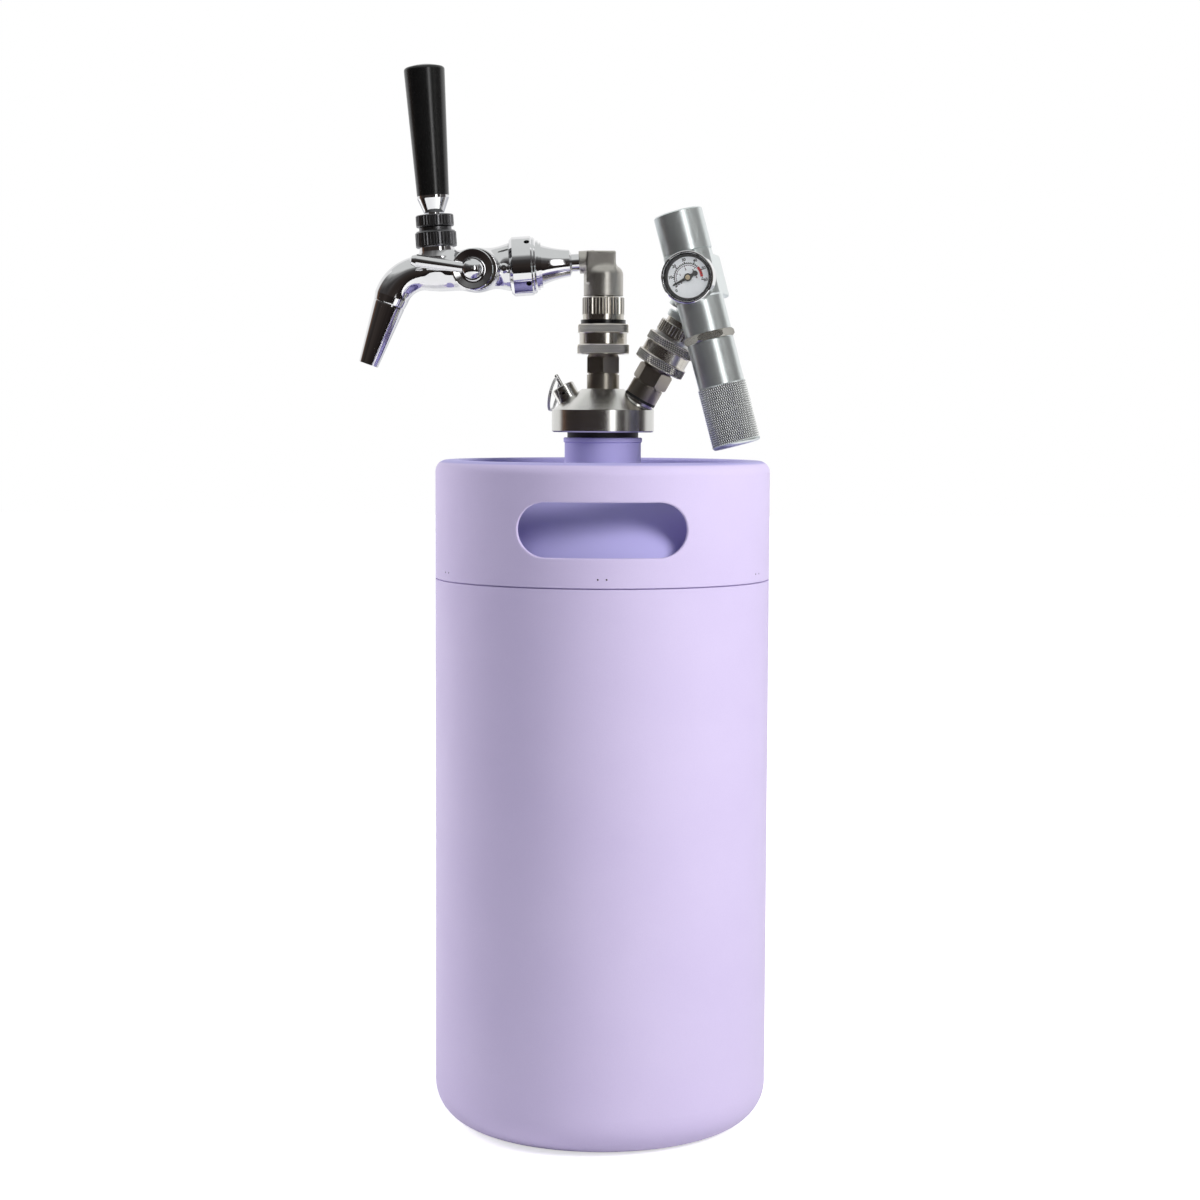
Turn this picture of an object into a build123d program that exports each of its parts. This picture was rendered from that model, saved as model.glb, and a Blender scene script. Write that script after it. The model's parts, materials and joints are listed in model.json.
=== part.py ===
from build123d import *
import math
import os

# Mini keg beer dispenser: an insulated steel keg with a threaded lid, a tap on
# a quick disconnect over the liquid post, and a cartridge regulator on the gas
# post. Millimetres, +Z up, base plane at Z = 0, keg axis on Z, tap towards -X.

# clearances
running = 0.05          # radius, shaft in a hole that turns or slides
sliding = 0.10          # radius, looser guide
skin_gap = 0.15         # radius, sleeve passing over a neighbour
face_gap = 0.3          # between faces that move past each other
cut_over = 2.0          # how far a cutter runs past the face it opens
edge = 0.5              # small broken edge

# keg body and carry ring
keg_r = 102.5
sheet = 1.5
inner_sheet = 1.2
vacuum_gap = 6.0
base_corner_r = 24.0
seam_z = 336.3
seam_gap = 0.8
spigot_h = 7.5
ring_h = 72.2
ring_corner_r = 7.0
ring_mouth_in = 14.5
ring_hem = 4.0
ring_top_z = seam_z + ring_h
ring_low_z = seam_z + seam_gap / 2
shell_top_z = seam_z - seam_gap / 2
spigot_r = keg_r - sheet
spigot_top_z = shell_top_z + spigot_h
ring_mouth_r = keg_r - ring_mouth_in
joggle_h = 4.0
joggle_z = shell_top_z - joggle_h
vessel_weld_z = spigot_top_z - vacuum_gap

# shoulder and neck
shoulder_mid_in = 30.5
shoulder_mid_h = 36.2
neck_root_r = 34.0
neck_root_h = 57.2
neck_r = 23.4
neck_wall = 1.2
neck_inner_wall = 1.6
neck_h = 78.9
neck_lip_out = 0.7
neck_lip_h = 3.1
neck_fillet = 6.0
neck_step = 1.4
neck_fillet_in = 1.7
neck_fillet_up = 1.8
vessel_root_in = 2.0
neck_top_z = spigot_top_z + neck_h
vessel_bore = neck_r - neck_wall

# carry slots and dimples
slot_w = 98.0
slot_h = 32.0
slot_rise = 33.6
slot_lip = 1.5
slot_lip_depth = 3.0
slot_edge_r = 0.9
slot_weld_in = 2.0
slot_z = seam_z + slot_rise
dimple_r = 0.55
dimple_depth = 0.5
dimple_pitch = 5.1
dimple_rise = 5.4
dimple_turns = (0.0, 65.0, 115.0, 180.0, 245.0, 295.0)

# lid
lid_clock = -12.0
lid_r = 31.3
lid_seal_h = 3.3
lid_seal_r = 21.75
lid_flange_h = 14.1
lid_cone_h = 12.3
lid_land_r = 13.0
lid_edge = 0.8
lid_plug_len = 15.0
lid_plug_wall = 3.2
lid_web_low = 4.0
lid_web_cone = 2.5
plug_r = vessel_bore - neck_inner_wall - sliding
lid_z = neck_top_z + lid_seal_h
lid_top_z = lid_z + lid_flange_h + lid_cone_h
lid_slope = lid_cone_h / (lid_r - lid_edge - lid_land_r)

# posts, heights above their seat
post_r = 8.75
post_base_r = 9.9
post_base_h = 8.7
post_waist = 0.9
post_hex = 19.4
post_hex_h = 9.9
post_cone_h = 1.8
post_h = 38.5
post_bore_r = 5.0
post_stud_r = 7.0
post_stud_len = 9.0
lock_groove_h = 28.5
lock_groove_depth = 1.2
lock_groove_w = 4.2
ring_groove_h = 34.5
ring_groove_w = 2.0
ring_groove_depth = 1.4
poppet_r = 4.6
poppet_mouth_r = 3.9
poppet_drop = 7.5
poppet_tail_r = 1.4
poppet_tail_len = 9.0
poppet_rim_h = 1.2
poppet_cone_h = 2.6
poppet_cone_in = 0.7
poppet_nose_h = 5.0
poppet_spring_wall = 2.1
post_mouth_drop = 3.5
tube_r = 3.9
tube_wall = 0.8
tube_flange_r = 6.5
tube_flange_t = 1.2
liquid_tube_floor = 5.3
gas_tube_len = 24.0
tube_ledge_h = -(post_stud_len + tube_flange_t)

# quick disconnects, heights above the post's seat
skirt_r = 11.3
skirt_low = 21.6
roof_gap = 1.2
probe_seat_r = 6.0
probe_t = 0.8
probe_pin_r = 1.1
probe_rim = 1.4
probe_arm_w = 1.2
ball_r = 1.8
ball_count = 5
ball_clock = 18.0
ball_way_len = 8.0
collar_low = 21.3
collar_h = 18.1
collar_flange_low_h = 5.8
collar_flange_high_h = 5.4
collar_flange_low_r = 15.95
collar_flange_high_r = 15.55
collar_waist_r = 14.55
collar_bore_r = 12.95
cam_low = 26.7
cam_h = 5.1
stop_ring_t = 1.3
stop_groove = 0.5
stop_ring_in = 0.25
marker_h = 2.6
marker_r = 13.75
nut_thread_len = 6.2
nut_thread_r = 10.5
nut_band_r = 12.6
nut_flute_r = 12.85
flute_depth = 0.45
nut_flutes = 36
liquid_band_h = 3.1
liquid_flute_h = 10.6
gas_nut_rise = 1.9
gas_band_h = 0.6
gas_flute_h = 6.9
swivel_r = 7.0
swivel_bore_r = 3.0
swivel_neck_h = 10.6
spring_wall = 1.1
spring_len = 2.2
skirt_bore_r = post_r + 0.2
cam_r = skirt_r + sliding
collar_top = collar_low + collar_h
liquid_nut_low = collar_top + marker_h
liquid_nut_top = liquid_nut_low + liquid_band_h + liquid_flute_h
gas_nut_low = collar_top + gas_nut_rise
gas_nut_top = gas_nut_low + gas_band_h + gas_flute_h

# gas side
gas_tilt = 30.0
gas_seat_in = 8.3
gas_seat_r = lid_r - gas_seat_in
gas_seat_lift = 0.55
gas_ring_h = 1.6
gas_neck_r = 10.2
gas_neck_rise = 3.1
gas_swivel_ring_r = 11.5
gas_swivel_ring_h = 4.0
gas_stem_r = 8.0
gas_stem_len = 10.0
gas_spigot_len = 6.8

# pressure relief valve
prv_tilt = 30.0
prv_seat_in = 9.9
prv_seat_r = lid_r - prv_seat_in
prv_seat_lift = 0.1
prv_r = 7.2
prv_h = 8.3
prv_stud_r = 4.0
prv_stud_len = 6.0
prv_spot_gap = 0.2
prv_chamber_r = 5.0
prv_roof = 1.6
prv_inlet_r = 2.6
prv_stem_r = 1.25
prv_stem_out = 8.4
prv_lift = 3.0
prv_disc_t = 1.1
prv_disc_in = 0.4
prv_plug_r0 = 1.6
prv_plug_r1 = 2.2
prv_tip_edge = 0.4
prv_spring_in = 1.4
prv_vent_at = 0.45
prv_vent_r = 0.95
prv_eye_r = 0.85
prv_eye_drop = 2.0
prv_hoop_r = 10.3
prv_wire_r = 0.65
prv_hoop_lean = 12.0

# elbow over the liquid disconnect, heights above its underside
head_gap = 0.9
head_r = 12.05
head_cyl_h = 13.9
head_dome_h = 20.4
head_dome_r = 6.6
head_shoulder_r = 10.2
head_shoulder_drop = 2.8
cube_low_h = 7.4
cube_top_h = 27.0
cube_back_x = 7.4
cube_front_x = 10.4
cube_half_y = 8.7
port_rise = 21.3
port_ring_r = 6.9
port_ring_len = 4.5
port_bore_r = 4.6
water_r = 4.0
neck_land = 1.2
head_low = lid_top_z + liquid_nut_top + head_gap
port_z = head_low + port_rise
swivel_top = head_low + swivel_neck_h

# tap, stations along its axis from the keg axis
tap_droop = 4.0
port_u = cube_front_x + port_ring_len
adapter_tail = 11.9
adapter_stub_r = 5.35
adapter_bore_r = 3.0
adapter_small_r = 8.6
adapter_small_u = port_u + 5.7
adapter_taper = 17.1
adapter_hollow = 0.6
adapter_shoulder = 1.2
adapter_big_u = adapter_small_u + adapter_taper
adapter_big_r = 12.1
retainer_w = 3.3
retainer_r = 15.0
retainer_step = 1.3
nut_u = adapter_big_u + retainer_w + face_gap
coupling_len = 15.6
coupling_r = 18.0
coupling_edge = 0.9
coupling_lip = 1.6
spanner_r = 1.7
spanner_depth = 2.6
spanner_in = 4.6
spanner_turns = (50.0, 140.0, 230.0, 320.0)
thread_r = 14.1
adapter_flange_r = 13.8
flange_w = 2.8
gasket_t = 1.4
gasket_in = 1.2
gasket_u = nut_u + coupling_lip + flange_w
faucet_u = gasket_u + gasket_t

# tap body
flare_r = 14.6
flare_hollow = 0.35
body_r = 12.1
thread_len = 10.0
body_waist = 22.5
flow_back = 32.0
lever_back = 54.0
chamber_r = 7.5
inlet_r = 5.5
inlet_len = 3.0
inlet_cone = 10.0
chamber_nose = 7.0
bend_back = 9.3
bend_r = 22.0
bend_turn = 66.8
arm_r = 10.6
spout_top_r = 9.75
spout_lead = 4.8
spout_len = 38.7
spout_tip_r = 6.05
spout_bore_r = 4.75
spigot_len = 5.0
spout_spigot_r = 7.2
flow_u = faucet_u + flow_back
lever_u = faucet_u + lever_back
seat_u = lever_u + chamber_nose
bend_u = lever_u + bend_back

# lever, heights above its pivot
pivot_v = 15.4
pivot_skirt_r = 11.4
pivot_skirt_low = 6.5
pivot_neck_r = 10.6
pivot_well_r = 8.5
pivot_well = 6.0
pivot_neck_top = 4.0
bonnet_r = 12.5
bonnet_low = 0.6
bonnet_shoulder = 8.2
bonnet_rim_r = 11.4
bonnet_dome_r = 15.1
bonnet_dome_foot_r = 9.9
bonnet_hole_r = 9.1
bonnet_seat = 2.2
lever_ball_r = 6.0
lever_stem_r = 4.0
lever_tail_r = 2.0
lever_tip_r = 2.9
tail_way_r = 5.3
cup_hole_r = 5.0
lock_r = 11.5
lock_low = 11.8
lock_h = 7.2
ferrule_low = 20.2
ferrule_h = 10.3
ferrule_low_r = 6.2
ferrule_foot = 0.4
ferrule_band = 1.6
handle_low_r = 9.75
handle_top_r = 12.4
handle_len = 79.2
handle_crown = 1.6
handle_edge = 2.0
handle_bore = 14.0
bonnet_flutes = 36

# shuttle and flow control
shuttle_back = 11.0
shuttle_nose = 6.0
shuttle_flat = 6.3
shuttle_nose_t = 3.0
shuttle_slot_fore = 4.6
nose_seal_in = 5.2
nose_seal_out = 7.0
flow_drop = 1.0
boss_back = 30.0
boss_r = 13.0
boss_y = 16.5
boss_edge = 1.2
flow_shaft_r = 4.0
flow_pin_r = 1.5
flow_pin_e = 2.4
flow_pin_turn = 52.5
flow_pin_reach = 4.8
disc_r = 12.5
disc_t = 4.6
disc_dish_r = 11.5
disc_dish = 1.6
flow_washer_t = 1.1
flow_ball_r = 6.75
flow_ball_sink = 0.4
flow_arm_r0 = 2.75
flow_arm_r1 = 3.9
flow_arm_len = 38.0
flow_tip_h = 1.1
flow_tip_flat = 0.2
flow_washer_in = 1.5
flow_arm_turn = 12.0
comp_nose = 25.5
comp_cone = 9.8
comp_tip_r = 5.4
comp_cone_r = 6.9
comp_guide = 3.0
comp_stem_r = 3.2
comp_tail_back = 2.5
comp_tail_fore = 5.4
comp_slot_depth = 5.0
pin_back = 13.4
pin_drop = 1.4
pin_r = 3.1
pin_sink = 3.0
pin_out = 5.1
pin_dome = 1.2
pin_flat = 0.2

# regulator, stations along its barrel from the gas axis crossing
reg_tilt = 15.0
reg_front = 24.0
cross_a = 77.5
cross_s = 5.6
port_face_a = 60.0
barrel_r = 14.1
cube_low_s = -2.6
cube_len = 28.5
cube_r = 15.0
cube_flat = 13.6
holder_len = 25.0
holder_r = 14.75
holder_edge = 0.8
cartridge_r = 7.9
cartridge_len = 13.5
cartridge_head_r = 7.0
cartridge_head_room = 6.5
barrel_len = 20.4
locknut_t = 4.7
locknut_flat = 26.6
locknut_clock = 12.0
sleeve_len = 27.5
grip_len = 36.8
sleeve_r = 14.0
grip_r = 14.65
grip_edge = 2.0
male_r = 11.4
male_len = 23.0
knob_floor = 8.0
range_bore_r = 8.6
piston_t = 4.5
piston_s = -12.0
piston_well_r = 2.5
range_spring_r = 6.5
range_spring_wall = 2.0
button_t = 3.0
button_neck = 3.0
rear_half_x = 13.0
rear_behind = 10.0
rear_edge = 2.0
port_boss_r = 13.6
port_boss_end = 4.0
gas_way_r = 2.0
gauge_way_r = 1.0
pierce_r = 1.2
pierce_flange_r = 3.2
pierce_flange_t = 1.2
pierce_way_r = 0.5
pierce_stem = 6.0
pierce_tip = 3.0
pierce_slant = 1.5
cube_top_s = cube_low_s + cube_len
barrel_low_s = cube_low_s - barrel_len
locknut_low_s = barrel_low_s - locknut_t
seam_s = locknut_low_s - sleeve_len
knob_low_s = seam_s - grip_len
male_end_s = barrel_low_s - male_len
knob_floor_s = male_end_s - knob_floor
holder_top_s = cube_top_s + holder_len

# gauge, stations outward from the barrel axis
gauge_s = 10.0
gauge_r = 15.5
gauge_rim = 1.3
gauge_back = 15.2
gauge_depth = 11.2
gauge_floor = 1.6
gauge_mouth_edge = 0.2
gauge_stem_r = 5.0
gauge_stem_in = 4.0
lens_in = 1.2
lens_t = 1.2
dial_well = 2.1
dial_t = 0.5
dial_r = 13.4
pillar_r = 3.0
hub_r = 2.6
hub_t = 1.0
needle_gap = 0.5
needle_t = 0.4
needle_len = 10.2
needle_tail = 5.4
needle_w = 1.1
needle_tip_w = 0.3
needle_root = 1.4
needle_blob_r = 1.7
axle_r = 0.7
axle_len = 3.5
needle_rest = 210.0
gauge_face = gauge_back + gauge_depth
lens_low = gauge_face - lens_in - lens_t
dial_y = lens_low - dial_well
gauge_in_r = gauge_r - gauge_rim

# frames of the tilted groups
lid_frame = Rot(0, 0, lid_clock)
gas_seat_z = lid_z + lid_flange_h + (lid_r - lid_edge - gas_seat_r) * lid_slope + gas_seat_lift
prv_seat_z = lid_z + lid_flange_h + (lid_r - lid_edge - prv_seat_r) * lid_slope + prv_seat_lift
liquid_frame = Pos(0, 0, lid_top_z) * Rot(0, 0, 30)
gas_seat = lid_frame * Pos(gas_seat_r, 0, gas_seat_z) * Rot(0, gas_tilt, 0)
gas_frame = gas_seat * Pos(0, 0, gas_ring_h)
prv_frame = lid_frame * Pos(-prv_seat_r, 0, prv_seat_z) * Rot(0, -prv_tilt, 0)
port_frame = Pos(0, reg_front, cross_s) * Rot(0, gas_tilt + reg_tilt, 0)
reg_frame = gas_seat * Pos(0, 0, cross_a) * Rot(0, -gas_tilt - reg_tilt, 0) * Pos(0, -reg_front, -cross_s)
gauge_frame = Pos(0, 0, gauge_s) * Rot(90, 0, 0)
tap_frame = Pos(0, 0, port_z) * Rot(0, -90 - tap_droop, 0)
lever_frame = Pos(pivot_v, 0, lever_u) * Rot(0, 90, 0)
flow_frame = Pos(-flow_drop, 0, flow_u) * Rot(90, 0, 0)
pin_frame = Pos(-pin_drop, 0, faucet_u + pin_back) * Rot(90, 0, 0)
bend_sin = math.sin(math.radians(bend_turn))
bend_cos = math.cos(math.radians(bend_turn))
spout_u = bend_u + bend_r * bend_sin + spout_lead * bend_cos
spout_v = -bend_r * (1 - bend_cos) - spout_lead * bend_sin
spout_frame = Pos(spout_v, 0, spout_u) * Rot(0, -bend_turn, 0)


def turned(points):
    """Solid turned about Z from a closed (radius, height) outline."""
    return revolve(make_face(Plane.XZ * Polyline(*points, close=True)), Axis.Z, 360)


def turned_edges(edges):
    """Solid turned about Z from outline edges drawn in (radius, height)."""
    return revolve(make_face(Plane.XZ * (Curve() + edges)), Axis.Z, 360)


def round_arc(start, centre, end):
    """Arc between two points about a centre, the short way."""
    r = math.dist(start, centre)
    mx = (start[0] + end[0]) / 2 - centre[0]
    my = (start[1] + end[1]) / 2 - centre[1]
    k = r / math.hypot(mx, my)
    return ThreePointArc(start, (centre[0] + mx * k, centre[1] + my * k), end)


def path(*items):
    """Outline edges: points are joined by lines, and an edge between them stands as it is."""
    edges = []
    last = None
    for item in items:
        if isinstance(item, tuple):
            if last is not None and math.dist(last, item) > 1e-6:
                edges.append(Line(last, item))
            last = item
        else:
            edges.append(item)
            end = item @ 1
            last = (end.X, end.Y)
    return edges


def rod(radius, low, high):
    """Cylinder on Z between two heights."""
    return Pos(0, 0, (low + high) / 2) * Cylinder(radius, high - low)


def tube(outer, inner, low, high):
    """Hollow cylinder on Z between two heights."""
    return rod(outer, low, high) - rod(inner, low - cut_over, high + cut_over)


def bar(x0, x1, y0, y1, z0, z1):
    """Box between its limits."""
    return Pos((x0 + x1) / 2, (y0 + y1) / 2, (z0 + z1) / 2) * Box(x1 - x0, y1 - y0, z1 - z0)


def hex_bar(flats, low, high, clock=0.0):
    """Hexagonal bar on Z with turned-down corners."""
    corner = flats / math.sqrt(3)
    trim = (corner - flats / 2) * 0.6
    prism = Pos(0, 0, low) * Rot(0, 0, clock) * extrude(RegularPolygon(corner, 6), high - low)
    return prism & turned([(0, low), (corner - trim, low), (corner, low + trim), (corner, high - trim),
                           (corner - trim, high), (0, high)])


def fluted(solid, radius, low, high, count):
    """Straight V flutes cut round the outside of a turned solid."""
    half = math.pi * radius / count
    vee = Polyline((radius - flute_depth, 0), (radius + flute_depth, -half), (radius + flute_depth, half),
                   close=True)
    cutter = Pos(0, 0, low) * extrude(make_face(vee), high - low)
    return solid - [Rot(0, 0, i * 360 / count) * cutter for i in range(count)]


def welded(whole, *heights):
    """Formed sheets of a welded shell, from the lowest up."""
    levels = [0, *heights, neck_top_z]
    return [whole & rod(keg_r + cut_over, low, high) for low, high in zip(levels, levels[1:])]


def outer_shell():
    """Outer shell: pressed base, rolled wall, and spun shoulder and neck with a joggle under the ring."""
    c = base_corner_r
    r = keg_r
    root_z = spigot_top_z + neck_root_h
    step_z = root_z + neck_step
    lip_r = neck_r + neck_lip_out
    mid = (r - shoulder_mid_in, spigot_top_z + shoulder_mid_h)
    mid_in = (mid[0] - sheet * 0.5, mid[1] - sheet * 0.9)
    shell = turned_edges(path(
        (0, 0), (r - c, 0), round_arc((r - c, 0), (r - c, c), (r, c)), (r, shell_top_z),
        (spigot_r, shell_top_z), (spigot_r, spigot_top_z),
        ThreePointArc((spigot_r, spigot_top_z), mid, (neck_root_r, root_z)),
        (neck_r + neck_fillet, step_z),
        ThreePointArc((neck_r + neck_fillet, step_z), (neck_r + neck_fillet_in, step_z + neck_fillet_up),
                      (neck_r, step_z + neck_fillet)),
        (neck_r, neck_top_z - neck_lip_h), (lip_r, neck_top_z - neck_lip_h + edge),
        (lip_r, neck_top_z - edge), (lip_r - edge, neck_top_z), (vessel_bore, neck_top_z),
        (vessel_bore, step_z), (neck_root_r - 0.5, root_z - sheet),
        ThreePointArc((neck_root_r - 0.5, root_z - sheet), mid_in,
                      (spigot_r - sheet, spigot_top_z - sheet * 0.5)),
        (spigot_r - sheet, shell_top_z - sheet), (r - sheet, joggle_z), (r - sheet, c),
        round_arc((r - sheet, c), (r - c, c), (r - c, sheet)), (0, sheet), (0, 0)))
    return welded(shell, c, joggle_z)


def inner_vessel():
    """Drink vessel hung from the neck: base, wall, and shoulder with neck."""
    w = inner_sheet
    low = sheet + vacuum_gap
    r = keg_r - sheet - vacuum_gap
    c = base_corner_r - sheet - vacuum_gap
    c_in = c - w
    top = vessel_weld_z
    root_z = spigot_top_z + neck_root_h - sheet - vacuum_gap
    root_r = neck_root_r - vessel_root_in
    bore = vessel_bore - neck_inner_wall
    mid = (keg_r - shoulder_mid_in - vacuum_gap * 0.5, spigot_top_z + shoulder_mid_h - vacuum_gap * 1.25)
    mid_in = (mid[0] - w * 0.4, mid[1] - w * 0.9)
    vessel = turned_edges(path(
        (0, low), (r - c, low), round_arc((r - c, low), (r - c, low + c), (r, low + c)), (r, top),
        ThreePointArc((r, top), mid, (root_r, root_z)), (vessel_bore, root_z + vessel_root_in),
        (vessel_bore, neck_top_z), (bore, neck_top_z), (bore, root_z + 1.0), (root_r - 0.4, root_z - w),
        ThreePointArc((root_r - 0.4, root_z - w), mid_in, (r - w, top)), (r - w, low + c),
        round_arc((r - w, low + w + c_in), (r - c, low + w + c_in), (r - c, low + w)),
        (0, low + w), (0, low)))
    return welded(vessel, low + c, top)


def slot_bar(width, height, y0, y1):
    """Round-ended bar along Y through the front carry slot."""
    return Pos(0, y1, slot_z) * extrude(Plane.XZ * SlotOverall(width, height), y1 - y0)


def slot_rim(item):
    """True for an outer rim edge of a carry slot."""
    mid = item @ 0.5
    on_wall = abs(math.hypot(mid.X, mid.Y) - keg_r) < 0.02
    return on_wall and abs(mid.Z - slot_z) <= slot_h / 2 + 0.1 and abs(mid.X) <= slot_w / 2 + 0.1


def handle_ring():
    """Carry ring over the shoulder: foot band, walls between the finger slots, top band, hemmed mouth."""
    c = ring_corner_r
    r = keg_r
    top = ring_top_z
    mouth = ring_mouth_r
    t = sheet
    ring = turned_edges(path(
        (r - t, ring_low_z), (r, ring_low_z), (r, top - c),
        round_arc((r, top - c), (r - c, top - c), (r - c, top)),
        (mouth + t, top), round_arc((mouth + t, top), (mouth + t, top - t), (mouth, top - t)),
        (mouth, top - ring_hem), (mouth + t, top - ring_hem), (mouth + t, top - t), (r - c, top - t),
        round_arc((r - c, top - t), (r - c, top - c), (r - t, top - c)), (r - t, ring_low_z)))
    out = r + cut_over
    hoop = tube(r - t / 2, r - t - slot_lip_depth, slot_z - slot_h, slot_z + slot_h)
    lip_bar = slot_bar(slot_w + 2 * slot_lip, slot_h + 2 * slot_lip, -out, -r / 2)
    lips = [Rot(0, 0, a) * lip_bar for a in (0, 180)]
    mouths = [Rot(0, 0, a) * slot_bar(slot_w, slot_h, -out, -r / 2) for a in (0, 180)]
    for lip in lips:
        ring = ring + (hoop & lip)
    ring = ring - mouths
    ring = fillet([e for e in ring.edges() if slot_rim(e)], slot_edge_r)
    pits = []
    for turn in dimple_turns:
        for x in (-dimple_pitch / 2, dimple_pitch / 2):
            pit = Pos(x, -r, seam_z + dimple_rise) * Rot(90, 0, 0) * Cylinder(dimple_r, dimple_depth * 2)
            pits.append(Rot(0, 0, turn) * pit)
    half = slot_h / 2 - slot_weld_in
    return welded(ring - pits, slot_z - half, slot_z + half, top - c)


def port_hole(frame):
    """Cutter for a post's stud, its dip tube's flange and the tube."""
    stud = rod(post_stud_r, tube_ledge_h, cut_over)
    return frame * (stud + rod(tube_r + running, tube_ledge_h - lid_r, tube_ledge_h + edge))


def lid():
    """Threaded lid: flange, cone with three ports, and a hollow plug."""
    z0 = lid_z
    z1 = lid_z + lid_flange_h
    plug_low = z0 - lid_plug_len
    bore = plug_r - lid_plug_wall
    web = z0 + lid_web_low
    body = turned([
        (0, web), (0, lid_top_z), (lid_land_r, lid_top_z), (lid_r - lid_edge, z1), (lid_r, z1 - edge),
        (lid_r, z0 + lid_edge), (lid_r - lid_edge, z0), (plug_r, z0), (plug_r, plug_low + 1),
        (plug_r - 1, plug_low), (bore, plug_low), (bore, web - lid_web_cone), (bore - lid_web_cone, web)])
    spots = gas_seat * rod(post_base_r + edge, -lid_flange_h / 2, 0)
    spots = spots + prv_frame * rod(prv_r + prv_spot_gap, -lid_flange_h / 2, 0)
    body = body + (spots & rod(lid_r, z0, lid_top_z))
    body = body - gas_seat * rod(post_base_r + edge, 0, lid_r)
    body = body - prv_frame * rod(prv_r + prv_spot_gap, 0, lid_r)
    body = body - port_hole(liquid_frame) - port_hole(gas_frame)
    return body - prv_frame * rod(prv_stud_r, -lid_r, cut_over)


def lid_seal():
    """Seal between the neck's mouth and the lid."""
    return tube(lid_seal_r, plug_r + sliding, neck_top_z, neck_top_z + lid_seal_h)


def post():
    """Quick disconnect post: stud, base, hexagon and grooved crown."""
    h1 = post_base_h + post_waist
    h2 = h1 + post_hex_h
    h3 = h2 + post_cone_h
    groove_r = post_r - lock_groove_depth
    half = lock_groove_w / 2
    ring_r = post_r - ring_groove_depth
    ring_half = ring_groove_w / 2
    crown = turned([
        (post_bore_r, h2), (post_r + post_waist, h2), (post_r, h3), (post_r, lock_groove_h - half),
        (groove_r, lock_groove_h - half / 2), (groove_r, lock_groove_h + half / 2),
        (post_r, lock_groove_h + half), (post_r, ring_groove_h - ring_half),
        (ring_r, ring_groove_h - ring_half), (ring_r, ring_groove_h + ring_half),
        (post_r, ring_groove_h + ring_half), (post_r, post_h - 1), (post_r - 1, post_h),
        (poppet_mouth_r, post_h), (poppet_mouth_r, post_h - 2), (post_bore_r, post_h - post_mouth_drop)])
    base = tube(post_base_r, post_bore_r, 0, post_base_h)
    waist = tube(post_base_r - post_waist, post_bore_r, post_base_h, h1)
    hexagon = hex_bar(post_hex, h1, h2) - rod(post_bore_r, h1 - 1, h2 + 1)
    stud = tube(post_stud_r - running, post_bore_r, -post_stud_len, 0)
    return base + waist + hexagon + crown + stud


def post_ring():
    """Seal ring in the post's crown."""
    half = ring_groove_w / 2 - sliding
    mid = ring_groove_h
    return tube(skirt_bore_r - running, post_r - ring_groove_depth, mid - half, mid + half)


def poppet():
    """Poppet held open by the probe of the disconnect."""
    low = post_h - poppet_drop
    tail = low - poppet_tail_len
    return turned([
        (0, tail), (poppet_tail_r, tail), (poppet_tail_r, low), (poppet_r, low),
        (poppet_r, low + poppet_rim_h), (poppet_mouth_r - poppet_cone_in, low + poppet_cone_h),
        (probe_pin_r, low + poppet_cone_h),
        (probe_pin_r, low + poppet_nose_h), (0, low + poppet_nose_h)])


def poppet_spring():
    """Sleeve in the place of the poppet's coil spring."""
    outer = poppet_r - sliding
    return tube(outer, outer - poppet_spring_wall, -post_stud_len, post_h - poppet_drop)


def dip_tube(end):
    """Dip tube with a flange clamped under the post's stud."""
    pipe = tube(tube_r, tube_r - tube_wall, end, tube_ledge_h)
    return pipe + tube(tube_flange_r, tube_r - tube_wall, tube_ledge_h, -post_stud_len)


def lock_balls():
    """Ring of lock balls seated in the post's groove."""
    centre_r = post_r - lock_groove_depth + running + ball_r
    ball = Pos(centre_r, 0, lock_groove_h) * Sphere(ball_r)
    return [Rot(0, 0, i * 360 / ball_count + ball_clock) * ball for i in range(ball_count)]


def socket(nut_low, neck, neck_top):
    """Disconnect socket: skirt over the post, roof with the probe's seat, thread land and neck."""
    roof = post_h + roof_gap
    top = nut_low + nut_thread_len
    body = turned([
        (skirt_bore_r, skirt_low), (skirt_r, skirt_low), (skirt_r, nut_low), (nut_thread_r, nut_low),
        (nut_thread_r, top), (neck, top), (neck, neck_top), (swivel_bore_r, neck_top),
        (swivel_bore_r, roof + 3), (probe_seat_r - 1, roof + probe_t), (probe_seat_r, roof + probe_t),
        (probe_seat_r, roof), (skirt_bore_r, roof)])
    window = Pos(skirt_r, 0, lock_groove_h) * Rot(0, 90, 0) * Cylinder(ball_r + running, ball_way_len)
    windows = [Rot(0, 0, i * 360 / ball_count + ball_clock) * window for i in range(ball_count)]
    low = cam_low - stop_ring_t - sliding
    groove = tube(skirt_r + 1, skirt_r - stop_groove, low, cam_low - sliding)
    return body - windows - groove


def gas_socket():
    """Gas disconnect socket with a bore for the regulator's swivel."""
    neck_top = gas_nut_top + gas_neck_rise
    body = socket(gas_nut_low, gas_neck_r, neck_top)
    return body - rod(swivel_r + running, neck_top - gas_spigot_len, neck_top + cut_over)


def probe():
    """Probe pin on a three-armed spider."""
    roof = post_h + roof_gap
    rim = probe_seat_r - running
    hoop = tube(rim, rim - probe_rim, roof, roof + probe_t)
    reach = rim - probe_rim / 2
    arm = bar(-reach, reach, -probe_arm_w / 2, probe_arm_w / 2, roof, roof + probe_t)
    pin = rod(probe_pin_r, post_h - poppet_drop + poppet_nose_h, roof + probe_t + 1)
    return pin + hoop + [Rot(0, 0, a) * arm for a in (0, 60, 120)]


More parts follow.
